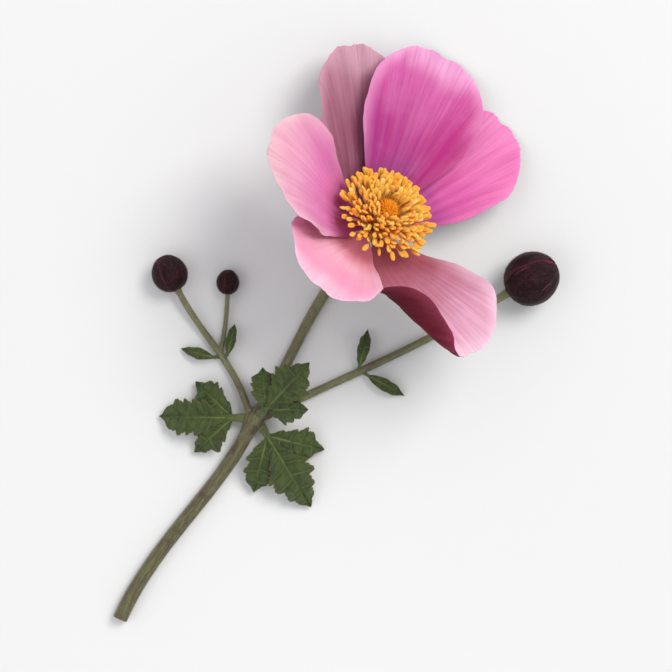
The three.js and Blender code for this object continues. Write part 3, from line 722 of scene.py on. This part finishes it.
def add_stamen(mesh, k, r):
    """One stamen: a thin bowed filament and a two-lobed anther on its end."""
    share = (k + 0.5) / STAMENS
    turn = k * 2.39996 + r.normal() * 0.05
    rise = rad(79 - 48 * share**0.82 + r.normal() * 2.1)
    length = 5.0 + 2.9 * share**0.8 + r.normal() * 0.27
    foot_r, foot_w = 1.95 + 0.55 * share, 4.1 - 2.2 * share
    out = np.array([math.cos(turn), math.sin(turn), 0.0])
    side = np.array([-math.sin(turn), math.cos(turn), 0.0])
    up = np.array([0, 0, 1.0])
    bow = rad(9 + 5 * r.normal())
    sway = rad(5 * r.normal())
    s = np.linspace(0, 1, FILAMENT_RINGS)
    angle = rise + bow * (1 - 2 * s)
    step = (out * np.cos(angle)[:, None] + up * np.sin(angle)[:, None]) + side * (np.sin(sway) * s)[:, None]
    step = unit(step)
    line = out * foot_r + up * foot_w + np.concatenate(
        [np.zeros((1, 3)), np.cumsum((step[1:] + step[:-1]) / 2 * length / (FILAMENT_RINGS - 1), 0)]
    )
    n1 = unit(np.cross(step, side))
    n2 = np.cross(step, n1)
    phi = np.arange(FILAMENT_SIDES) / FILAMENT_SIDES * TAU
    thin = 0.15 - 0.05 * s
    ring = line[:, None] + (n1[:, None] * np.cos(phi)[None, :, None] + n2[:, None] * np.sin(phi)[None, :, None]) * thin[:, None, None]
    ring_uv = uv_pair(r.uniform(), np.repeat(s[:, None], FILAMENT_SIDES + 1, 1))
    world = in_flower(ring[..., 0], ring[..., 1], ring[..., 2])
    ids = mesh.grid(world, ring_uv, ring_uv, 1, wrap=True)
    for end, row in ((0, ids[0]), (-1, ids[-1])):
        mesh.cap(row, ring_uv[end, :-1], ring_uv[end, :-1], 1)

    # anther
    d = unit(step[-1] + 0.16 * r.normal(size=3))
    face = unit(np.cross(d, side + 0.35 * r.normal(size=3)))
    wide = np.cross(d, face)
    half_l, half_w, half_t = (x * r.uniform(0.9, 1.12) for x in (0.98, 0.54, 0.38))
    tone = np.clip(0.5 + 0.25 * r.normal(), 0, 1)
    centre = line[-1] + d * half_l * 0.72
    lat = np.linspace(0.02, 0.98, ANTHER_RINGS) * math.pi
    lon = np.arange(ANTHER_SIDES) / ANTHER_SIDES * TAU
    la, lo = np.meshgrid(lat, lon, indexing="ij")
    groove = np.exp(-((np.cos(lo) / 0.42) ** 2)) * np.sin(la) ** 0.5
    body = np.sin(la) ** 0.62
    x = half_w * body * np.cos(lo)
    y = half_t * body * np.sin(lo) * (1 - 0.52 * groove)
    z = -half_l * np.cos(la) * (1 + 0.1 * np.abs(np.cos(lo)))
    local = centre + wide * x[..., None] + face * y[..., None] + d * z[..., None]
    lo_uv = np.concatenate([groove, groove[:, :1]], 1)
    a = uv_pair(tone, np.repeat((lat / math.pi)[:, None], ANTHER_SIDES + 1, 1))
    b = uv_pair(lo_uv, 0.5)
    ids = mesh.grid(in_flower(local[..., 0], local[..., 1], local[..., 2]), a, b, 0, wrap=True)
    for end in (0, -1):
        mesh.cap(ids[end], a[end, :-1], b[end, :-1], 0)


ANTHER, FILAMENT = anther_material(), filament_material()
groups = [("inner", 0, 72), ("middle", 72, 162), ("outer", 162, STAMENS)]
for label, first, last in groups:
    mesh = Mesh()
    r = np.random.default_rng(90 + first)
    for k in range(first, last):
        add_stamen(mesh, k, r)
    mesh.build(f"stamens_{label}", [ANTHER, FILAMENT], ("stamen_uv", "stamen_form"), [f"stamens_{label}_whorl"])

# ------------------------------------------------------------------ carpel head
mesh = Mesh()
r = np.random.default_rng(77)
HEAD = np.array([0, 0, 7.0])
lat = np.linspace(0.01, 0.99, 24) * math.pi
lon = np.arange(36) / 36 * TAU
la, lo = np.meshgrid(lat, lon, indexing="ij")
ball = HEAD + 2.12 * np.stack([np.sin(la) * np.cos(lo), np.sin(la) * np.sin(lo), -0.97 * np.cos(la)], -1)
flat_uv = uv_pair(0.2, np.zeros((24, 37)))
ids = mesh.grid(in_flower(ball[..., 0], ball[..., 1], ball[..., 2]), flat_uv, flat_uv, 0, wrap=True)
for end in (0, -1):
    mesh.cap(ids[end], flat_uv[end, :-1], flat_uv[end, :-1], 0)
CARPELS = 210
for k in range(CARPELS):
    z = 1 - (k + 0.5) * 1.86 / CARPELS
    turn = k * 2.39996
    d = unit(np.array([math.sqrt(max(0, 1 - z * z)) * math.cos(turn), math.sqrt(max(0, 1 - z * z)) * math.sin(turn), z]) + 0.03 * r.normal(size=3))
    s = unit(np.cross(d, [0.3, 0.2, 1.0]))
    u = np.cross(d, s)
    lean = unit(d + 0.2 * r.normal(size=3) + np.array([0, 0, 0.25]))
    rings = [(0.0, 0.3), (0.22, 0.31), (0.38, 0.24), (0.5, 0.14), (0.62, 0.075), (0.78, 0.07), (0.86, 0.04)]
    phi = np.arange(8) / 8 * TAU
    tall = r.uniform(0.7, 0.95)
    p = np.array([
        HEAD + d * 1.98 + lean * h * tall + (s * math.cos(a) + u * math.sin(a)) * w
        for h, w in rings for a in phi
    ]).reshape(len(rings), 8, 3)
    hs = np.array([h for h, _ in rings]) / 0.86
    a_uv = uv_pair(r.uniform(), np.repeat(hs[:, None], 9, 1))
    ids = mesh.grid(in_flower(p[..., 0], p[..., 1], p[..., 2]), a_uv, a_uv, 0, wrap=True)
    for end in (0, -1):
        mesh.cap(ids[end], a_uv[end, :-1], a_uv[end, :-1], 0)
mesh.build("carpel_ball", [carpel_material()], ("stamen_uv", "stamen_form"), ["carpel_head"])


# ------------------------------------------------------------------ stems
def add_tube(mesh, line, radius, tone, mat=0, sides=28, ribs=7, rib=0.035, seed=1, cut=None, hairs=0, hair_mat=1, hair_len=0.4, hair_to=None):
    """A ribbed stem along a line of points; radius and tone are arrays along it."""
    n = len(line)
    _, side, up = frames_along(line)
    s = np.concatenate([[0], np.cumsum(np.linalg.norm(np.diff(line, axis=0), axis=1))])
    phi = np.arange(sides) / sides * TAU
    form = 1 + rib * np.cos(ribs * phi[None] + 0.35 * wobble(s / 9, seed)[:, None]) + 0.012 * wobble2(phi[None] * 1.0, s[:, None] / 3, seed + 4)
    rr = radius[:, None] * form
    out = side[:, None] * np.cos(phi)[None, :, None] + up[:, None] * np.sin(phi)[None, :, None]
    p = line[:, None] + out * rr[..., None]
    around = np.arange(sides + 1) / sides
    a = uv_pair(around[None, :] + 0 * s[:, None], s[:, None] + 0 * around[None, :])
    b = uv_pair((s / s[-1])[:, None] + 0 * around[None, :], tone[:, None] + 0 * around[None, :])
    ids = mesh.grid(p, a, b, mat, wrap=True)
    tangent = unit(np.gradient(line, axis=0))
    for end, sign in ((0, -1), (-1, 1)):
        if cut is not None and end == 0:
            last = ids[0]
            for share, sink in ((0.95, -0.05), (0.86, -0.02), (0.72, 0.06), (0.5, 0.16), (0.25, 0.22), (0.06, 0.24)):
                ring = line[0] + (p[0] - line[0]) * share + tangent[0] * sink
                here = mesh.add_points(ring)
                col = uv_pair(share, 0.5 + 0 * around)
                prev = uv_pair(min(1, share + 0.1), 0.5 + 0 * around)
                mesh.quads(np.stack([last, here]), np.stack([prev, col]), np.stack([prev, col]), cut, wrap=True)
                last = here
            mesh.cap(last, uv_pair(0.0, 0.5 + 0 * phi), uv_pair(0.0, 0.5 + 0 * phi), cut)
        else:
            mesh.cap(ids[end], a[end, :-1], b[end, :-1], mat)
    if hairs:
        r = np.random.default_rng(seed + 50)
        i, j = r.integers(1, hair_to or n - 2, hairs), r.integers(0, sides, hairs)
        f = r.uniform(0, 1, hairs)[:, None]
        at = p[i, j] * (1 - f) + p[i + 1, j] * f
        keep = at[:, 2] > 0.25
        add_hairs(mesh, at[keep], out[i, j][keep], tangent[i][keep], hair_len, 0.018, hair_mat, seed + 60)
    return ids


def mix3(r, t):
    return (1 - t) ** 2 * r[0] + 2 * t * (1 - t) * r[1] + t * t * r[2]


STEM = stem_material("stem_skin", "#5c6636", "#472722", "#98a073", 0.8)
STALK = stem_material("stalk_skin", "#656e3d", "#502e29", "#a0a77c", 0.6)
HAIR = hair_material("stem_down", "#8c8a63", 0.35, 0.6)
CUT = cut_material()
STEM_UV = ("stem_uv", "stem_tone")

# main stem, its swollen node on top
mesh = Mesh()
line = bezier(MAIN_STEM, 400)
line = np.concatenate([line, line[-1] + unit(line[-1] - line[-2]) * np.linspace(0.05, 2.55, 50)[:, None]])
line, s = resample(line, 330)
centre = s[-1] - 1.95
t = np.clip(s / (s[-1] - 2.5), 0, 1)
radius = mix3([1.5, 1.4, 1.45], t)
x = (s - centre) / 1.95
swell = np.where(x < 0, np.exp(-((x / 1.15) ** 2)), np.sqrt(np.clip(1 - x * x, 0.0004, 1)))
radius = np.where(x < 0, radius + (2.12 - radius) * swell, 2.12 * swell)
radius *= 1 + 0.02 * wobble(s / 5, 4)
line[:, 2] += 0.12 * wobble(s / 14, 8) * smooth(s / 10) * smooth((s[-1] - s) / 10)
line[:, 2] = np.maximum(line[:, 2], radius * 1.04 + 0.02)
add_tube(mesh, line, radius, 0.15 + 0.1 * wobble(s / 7, 5), ribs=9, rib=0.045, seed=2, cut=1, hairs=2400, hair_mat=2, hair_len=0.34)
mesh.build("stem_main", [STEM, CUT, HAIR], STEM_UV, ["main_stem"])

# flower stalk, bent at the neck, with the dome that carries the flower
mesh = Mesh()
low = bezier(FLOWER_STALK, 200)
start = low[-1]
heading = unit(low[-1] - low[-2])
end = BASE - AXIS * 0.9
neck = bezier([start, start + heading * 8.4, end - AXIS * 8.8, end], 200)
root = np.array([[0.05, 0.7, 2.15]])
run = np.concatenate([root + (low[0] - root) * np.linspace(0, 0.95, 12)[:, None], low, neck[1:]])
total = np.linalg.norm(np.diff(run, axis=0), axis=1).sum()
top = end + AXIS * np.linspace(0.05, 6.15, 72)[:, None]
line, s = resample(np.concatenate([run, top]), 400)
t = np.clip(s / total, 0, 1)
radius = mix3([1.15, 0.85, 1.35], t)
w = s - total - 0.9  # height on the flower's axis, near its top
# the dome reaches the feet of the filaments and carries the ball of carpels
profile_w = [-60, -3.4, -2.6, -1.6, -0.75, 0.1, 1.0, 1.6, 1.9, 3.0, 4.1, 4.5, 4.85, 5.1, 5.2, 5.25]
profile_r = [0, 0, 1.3, 1.6, 2.3, 2.55, 2.5, 2.62, 2.64, 2.38, 2.12, 1.9, 1.5, 0.9, 0.4, 0.05]
dome = np.interp(w, profile_w, profile_r)
dome = np.convolve(np.pad(dome, 5, mode="edge"), np.ones(11) / 11, mode="valid")
radius = np.where(w > -2.6, dome, np.maximum(radius, dome))
radius += 0.55 * np.exp(-((s / 1.6) ** 2))
radius[-1] = 0.06
tone = 0.25 + 0.5 * smooth((s - 15) / 22) + 0.1 * wobble(s / 6, 3)
line[:, 2] = np.where(s < 26, np.maximum(line[:, 2], radius * 1.05 + 0.02), line[:, 2])
add_tube(mesh, line, radius, tone, ribs=6, rib=0.03, seed=12, hairs=3200, hair_mat=1, hair_len=0.45, hair_to=int(np.argmax(w > -2.2)))
mesh.build("stalk_flower", [STALK, HAIR], STEM_UV, ["flower_stalk"])


def side_stalk(name, pts, r3, root, node, seed, hairs, flare=0.3):
    mesh = Mesh()
    line = bezier(pts, 300)
    root = np.array([root], float)
    line = np.concatenate([root + (line[0] - root) * np.linspace(0, 0.92, 10)[:, None], line])
    tail = unit(line[-1] - line[-2])
    line = np.concatenate([line, line[-1] + tail * np.linspace(0.1, 0.8, 6)[:, None]])
    line, s = resample(line, 240)
    t = s / s[-1]
    radius = mix3(r3, t) * (1 + 0.03 * wobble(s / 4, seed)) + flare * np.exp(-((s / 1.3) ** 2))
    radius *= 1 + 0.28 * smooth((t - 0.955) / 0.045)
    line = line + np.stack([0 * s, 0 * s, 0.1 * wobble(s / 9, seed + 3) * smooth(s / 6) * smooth((s[-1] - s) / 6)], 1)
    line[:, 2] = np.maximum(line[:, 2], radius * 1.05 + 0.02)
    tone = 0.3 + 0.25 * t + 0.12 * wobble(s / 5, seed + 1)
    add_tube(mesh, line, radius, tone, sides=22, ribs=5, rib=0.035, seed=seed, hairs=hairs, hair_mat=1, hair_len=0.34)
    mesh.build(name, [STALK, HAIR], STEM_UV, [node])


side_stalk("stalk_bud_large", BUD_STALK_LARGE, [0.85, 0.75, 0.8], (0.9, 0.7, 2.2), "bud_stalk_large", 23, 2600)
side_stalk("stalk_bud_small", BUD_STALK_SMALL, [0.75, 0.65, 0.65], (-0.9, 0.5, 2.3), "bud_stalk_small", 29, 1700)
side_stalk("stalk_bud_tiny", BUD_STALK_TINY, [0.5, 0.45, 0.45], (-12.75, 9.1, 1.35), "bud_stalk_tiny", 35, 700, 0.15)


# ------------------------------------------------------------------ leaves
def blade_shape(q, form):
    return np.maximum(0, np.sin(np.pi * np.clip(0.02 + 0.98 * q, 0, 1) ** form)) ** (0.8 + 0.2 * form)


def add_leaflet(mesh, origin, heading, rise, droop, L, W, thick, teeth, foot_w, seed, lift=0.0, nq=180, nv=35, tooth_depth=0.2, form=1.08):
    """A toothed blade folded along its midrib, with side veins that run forward to the teeth."""
    h = rad(heading)
    flat = np.array([math.cos(h), math.sin(h), 0.0])
    side = np.array([-math.sin(h), math.cos(h), 0.0])
    up = np.array([0, 0, 1.0])
    N = 300
    slope = lambda q: np.radians(rise - droop * smooth(q / 0.85))
    a = slope((np.arange(N) + 0.5) / N)
    d_line = np.concatenate([[0], np.cumsum(np.cos(a)) * L / N])
    z_line = np.concatenate([[0], np.cumsum(np.sin(a)) * L / N])
    j = np.linspace(0, 1, nq)
    v = np.linspace(-1, 1, nv)
    q, x = np.meshgrid(j, v, indexing="ij")
    k = np.abs(x)
    # teeth point forward: a slow rise and a quick fall
    beat = teeth * (q + 0.02 * np.sign(x)) + 0.3 * wobble(q * 3, seed)
    saw = (beat % 1.0)
    tooth = np.where(saw < 0.7, saw / 0.7, (1 - saw) / 0.3)
    small = (3 * beat + 0.15) % 1.0
    nick = np.where(small < 0.7, small / 0.7, (1 - small) / 0.3)
    lobes = 1 + 0.6 * tooth_depth * np.cos(TAU * 1.8 * q + seed)
    width = W * blade_shape(q, form) * (1 - 0.8 * tooth_depth + 1.35 * tooth_depth * tooth**1.1 + 0.42 * tooth_depth * nick) * lobes
    width = np.maximum(width, np.where(q < 0.4, foot_w, 0.03))
    width = width * (1 + 0.05 * wobble(q * 6, seed + 1))
    sweep = 0.55 * (1 - q) * smooth(q / 0.06)
    along = np.clip(q + sweep * k * width / L, 0, 1.0)
    lateral = x * width
    i = along * N
    d = np.interp(i, np.arange(N + 1), d_line)
    z = np.interp(i, np.arange(N + 1), z_line)
    s = slope(along)
    normal = -np.sin(s)[..., None] * flat + np.cos(s)[..., None] * up
    fold = 0.22 * k * width - 0.10 * (k * width) ** 2 / max(W, 0.1)
    midrib = np.exp(-((lateral / (0.34 - 0.22 * q)) ** 2)) * smooth((1 - q) / 0.08)
    near = np.abs((beat + 0.28) % 1.0 - 0.5) * 2
    side_vein = smooth((near - 0.8) / 0.2) * smooth((1.0 - k) / 0.2) * smooth(k / 0.1)
    pucker = (1 - near**2) * np.sin(np.pi * np.clip(k, 0, 1)) ** 0.8 + 0.35 * wobble2(q * 22, k * 9, seed + 11)
    curl = wobble(q * 5 + x, seed + 5) * 0.28 * k**2 + 0.1 * wobble2(q * 8, x * 2, seed + 7)
    relief = 0.34 * pucker * (W / 3.5) - 0.26 * midrib - 0.14 * side_vein + curl * (W / 3.5)
    centre = (
        np.array(origin) + flat * d[..., None] + side * lateral[..., None] + up * (z + lift)[..., None]
        + normal * (fold + relief)[..., None]
    )
    half = thick / 2 * (1 - 0.72 * k**4) * (1 - 0.4 * q)
    front = centre + normal * half[..., None]
    back = centre - normal * (half + 0.16 * midrib * (1 - 0.6 * q) + 0.05 * side_vein)[..., None]
    a_uv = uv_pair(lateral, along * L)
    strand = np.maximum(midrib * (0.95 - 0.25 * q), side_vein * 0.78)
    # the second map carries the veins and, between them, the height of the bulges, which drives a painted highlight
    b_uv = uv_pair(strand + (1 - strand) * 0.45 * np.clip((pucker + 0.2) / 1.4, 0, 1), k)
    mesh.sheet(front, back, a_uv, b_uv, 0, 1)
    return centre


def add_petiole(mesh, start, end, w0, w1, t0, t1, mat):
    """A short leaf stalk, wider than deep and channelled on top."""
    line = np.array(start) + (np.array(end) - np.array(start)) * np.linspace(0, 1, 26)[:, None]
    _, side, up = frames_along(line)
    sides = 20
    phi = np.arange(sides) / sides * TAU
    f = np.linspace(0, 1, 26)[:, None]
    w, t = w0 + (w1 - w0) * f, t0 + (t1 - t0) * f
    round_end = np.sqrt(np.clip(1 - ((f - 0.5) / 0.5) ** 16, 0.05, 1))
    x = w * np.cos(phi)[None] * round_end
    y = t * np.sin(phi)[None] * (1 - 0.5 * np.exp(-(((phi[None] - TAU / 4) / 0.6) ** 2))) * round_end
    p = line[:, None] + side[:, None] * x[..., None] + up[:, None] * y[..., None]
    a = uv_pair(np.linspace(-1, 1, sides + 1)[None, :] + 0 * f, 4 * f + 0 * np.zeros((1, sides + 1)))
    b = uv_pair(0.35 + 0 * a[..., 0], 0.4 + 0 * a[..., 0])
    ids = mesh.grid(p, a, b, mat, wrap=True)
    for e in (0, -1):
        mesh.cap(ids[e], a[e, :-1], b[e, :-1], mat)


LEAF = leaf_material("bract_face", "#1b290d", "#304318", "#4b5e27", "#8c9a52", "#6e6a34")
LEAF_BACK = leaf_material("bract_back", "#5a6639", "#6d7a48", "#7c8856", "#9ba66e", "#8b8f58", back=True)
LEAF_STALK = leaf_material("bract_stalk", "#4b5030", "#59613a", "#656d42", "#7c8255", "#4c3a2c", back=True)
LEAF_UV = ("leaf_uv", "leaf_form")
FOOT = 1.8
for b in BRACTS:
    mesh = Mesh()
    h, e = rad(b["head"]), rad(b["rise"])
    way = np.array([math.cos(h) * math.cos(e), math.sin(h) * math.cos(e), math.sin(e)])
    at = np.array(b["at"], float)
    fork = at + way * FOOT
    node_centre = np.array([0, 0, 2.3])
    add_petiole(mesh, at + (node_centre - at) * 0.45, fork + way * 1.9, 1.15, 0.5, 0.6, 0.34, 2)
    L = b["L"] - FOOT
    add_leaflet(mesh, fork, b["head"], b["rise"], b["droop"], L, b["W"] * 1.12, 0.42, 6.5, 0.5, b["seed"], 0.22, form=1.12)
    for sgn in (1, -1):
        add_leaflet(
            mesh, fork, b["head"] + sgn * b["spread"] * 1.12, b["rise"] - 2, b["droop"] * 0.9, L * b["lobe"] * 1.06, b["W"] * 0.82,
            0.4, 4.6, 0.45, b["seed"] + 3 + sgn, -0.12, 150, 29, form=1.0,
        )
    mesh.build(f"leaf_bract_{b['name']}", [LEAF, LEAF_BACK, LEAF_STALK], LEAF_UV, [f"bract_{b['name']}"])

for b in BRACTLETS:
    mesh = Mesh()
    h, e = rad(b["head"]), rad(b["rise"])
    way = np.array([math.cos(h) * math.cos(e), math.sin(h) * math.cos(e), math.sin(e)])
    add_petiole(mesh, b["on"], np.array(b["at"]) + way * 0.9, 0.5, 0.28, 0.34, 0.2, 2)
    add_leaflet(mesh, b["at"], b["head"], b["rise"], b["droop"], b["L"], b["W"], 0.34, 3.6, 0.3, b["seed"], 0.0, 80, 21, 0.09, form=0.92)
    mesh.build(f"leaf_bractlet_{b['name']}", [LEAF, LEAF_BACK, LEAF_STALK], LEAF_UV, [f"bractlet_{b['name']}"])

# ------------------------------------------------------------------ buds
BUD = bud_material("bud_silk", "#170408", "#2c0c13", "#562531")
BUD_IN = bud_material("bud_inner", "#4a142b", "#742648", "#a75f80")
BUD_HAIR = hair_material("bud_down", "#371a24", 0.12, 0.8)
for b in BUDS:
    mesh = Mesh()
    d = unit(np.array(b["dir"], float))
    s = unit(np.cross([0, 0, 1.0], d))
    u = np.cross(d, s)
    at = np.array(b["at"], float)

    def on_bud(theta, phi, size):
        y = -np.cos(theta)
        tip = np.where(y > 0, 1 + 0.05 * y * y, 1 - 0.04 * y * y)
        return (
            at + d * (y * b["r"] * b["long"] * tip * size)[..., None]
            + (s * (np.sin(theta) * np.cos(phi) * b["r"] * size)[..., None])
            + (u * (np.sin(theta) * np.sin(phi) * b["r"] * size)[..., None])
        )

    th, ph = np.meshgrid(np.linspace(0.02, 0.98, 26) * math.pi, np.arange(40) / 40 * TAU, indexing="ij")
    core_uv = uv_pair(0.5, np.zeros((26, 41)))
    ids = mesh.grid(on_bud(th, ph, 0.9 + 0 * th), core_uv, core_uv, 1, wrap=True)
    for e in (0, -1):
        mesh.cap(ids[e], core_uv[e, :-1], core_uv[e, :-1], 1)
    shells = [(k * 120 + 60, 66, 0.945, 1) for k in range(3)] + [(k * 120 + 12 * math.sin(b["seed"] + k), 69, 0.985, 0) for k in range(3)]
    for index, (middle, half_deg, size, mat) in enumerate(shells):
        q, v = np.meshgrid(np.linspace(0, 1, 56), np.linspace(-1, 1, 49), indexing="ij")
        theta = (0.035 + 0.945 * q) * math.pi
        taper = 1 - 0.45 * smooth((q - 0.72) / 0.28)
        half = rad(half_deg) * taper * (1 + 0.03 * wobble(q * 6, b["seed"] + index))
        phi = rad(middle) + v * half + 0.35 * (q - 0.5)
        k = np.abs(v)
        lap = 0.016 * v * smooth((1 - q) / 0.2)
        lip = 0.012 * smooth((k - 0.9) / 0.1)
        ridge = 0.009 * np.cos(v * 13 + wobble(q * 4, b["seed"] + index)) + 0.012 * np.exp(-((v / 0.12) ** 2)) + 0.01 * wobble2(v * 2, q * 4, b["seed"] + 9 * index)
        shape = size + lap + lip + ridge * np.sin(np.pi * q) ** 0.5
        thin = (0.24 / b["r"]) * (1 - 0.5 * k**6)
        a_uv = uv_pair(v * half_deg / 60 + 0.5, q * b["r"] * 3 / 10)
        b_uv = uv_pair(k, q)
        mesh.sheet(on_bud(theta, phi, shape), on_bud(theta, phi, shape - thin), a_uv, b_uv, mat, mat)
    r = np.random.default_rng(b["seed"] + 200)
    n = b["hairs"]
    theta = np.arccos(r.uniform(-0.96, 0.97, n))
    phi = r.uniform(0, TAU, n)
    p = on_bud(theta, phi, 0.995 + 0 * theta)
    e = 0.01
    along = unit(on_bud(theta + e, phi, 1 + 0 * theta) - on_bud(theta - e, phi, 1 + 0 * theta))
    around = unit(on_bud(theta, phi + e, 1 + 0 * theta) - on_bud(theta, phi - e, 1 + 0 * theta))
    normal = np.cross(around, along)
    normal *= np.sign(np.sum(normal * (p - at), 1))[:, None]
    keep = p[:, 2] > 0.4
    add_hairs(mesh, p[keep], normal[keep] * 0.3, along[keep] * 1.8, 0.1 * b["r"] ** 0.6 + 0.34, 0.011, 2, b["seed"] + 300)
    mesh.build(f"flower_bud_{b['name']}", [BUD, BUD_IN, BUD_HAIR], ("petal_uv", "petal_edge"), [f"bud_{b['name']}"])

# ------------------------------------------------------------------ floor, light, camera
scene = bpy.context.scene
floor_mesh = bpy.data.meshes.new("table_top")
curve = [(0.3, 0.0), (0.8, 0.0), (1.5, 0.0)] + [(1.5 + 1.6 * math.sin(a), 1.6 * (1 - math.cos(a))) for a in np.radians(np.linspace(5, 90, 18))] + [(3.1, 2.4)]
corners = [(0.0, 0.0, -0.00002)] + [(r_ * math.cos(a), r_ * math.sin(a), z_ - 0.00002) for r_, z_ in curve for a in np.arange(72) / 72 * TAU]
panels = [(0, 1 + k, 1 + (k + 1) % 72) for k in range(72)]
panels += [(1 + 72 * j + k, 1 + 72 * (j + 1) + k, 1 + 72 * (j + 1) + (k + 1) % 72, 1 + 72 * j + (k + 1) % 72) for j in range(len(curve) - 1) for k in range(72)]
floor_mesh.from_pydata(corners, [], panels)
floor_mesh.shade_smooth()
floor = bpy.data.objects.new("table_top", floor_mesh)
scene.collection.objects.link(floor)
n = Nodes("table_pale")
soft = n.noise(n.place(), 3.0, 2.0)
floor_mesh.materials.append(n.set(color=n.mix(n.span(soft, 0.3, 0.7, 0.0, 1.0), "#dedede", "#e2e2e2"), rough=0.95, spec=0.05))
floor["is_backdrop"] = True

world = bpy.data.worlds.new("studio")
world.use_nodes = True
background = world.node_tree.nodes["Background"]
background.inputs["Color"].default_value = (0.97, 0.98, 1.0, 1)
background.inputs["Strength"].default_value = 0.8
scene.world = world


def area_light(name, bearing, elevation, distance, size, power, colour=(1, 1, 1)):
    """A square soft box; bearing is clockwise in the picture from its top, in degrees."""
    data = bpy.data.lights.new(name, "AREA")
    data.shape, data.size, data.energy, data.color = "SQUARE", size, power, colour
    lamp = bpy.data.objects.new(name, data)
    scene.collection.objects.link(lamp)
    a = rad(bearing - CAMERA_ROLL)
    e = rad(elevation)
    back = np.array([math.sin(a) * math.cos(e), math.cos(a) * math.cos(e), math.sin(e)])
    from mathutils import Vector

    lamp.location = Vector(back * distance + np.array([0, 0.02, 0.015]))
    lamp.rotation_mode = "QUATERNION"
    lamp.rotation_quaternion = Vector(back).to_track_quat("Z", "Y")
    return lamp


area_light("key", 52, 52, 1.6, 0.8, 17.0, (1.0, 0.985, 0.96))
area_light("fill", -110, 45, 1.6, 1.4, 4.5, (0.97, 0.98, 1.0))

cam = bpy.data.objects.new("camera", bpy.data.cameras.new("camera"))
scene.collection.objects.link(cam)
cam.data.sensor_width = 36.0
cam.data.lens = CAMERA_LENS
cam.location = (CAMERA_AIM[0] / 1000, CAMERA_AIM[1] / 1000, CAMERA_SPAN / 1000 * CAMERA_LENS / 36.0 + 0.015)
cam.rotation_euler = (0, 0, rad(CAMERA_ROLL))
cam.data.clip_start, cam.data.clip_end = 0.01, 20.0
scene.camera = cam
scene.view_settings.view_transform = "Standard"

low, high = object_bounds()
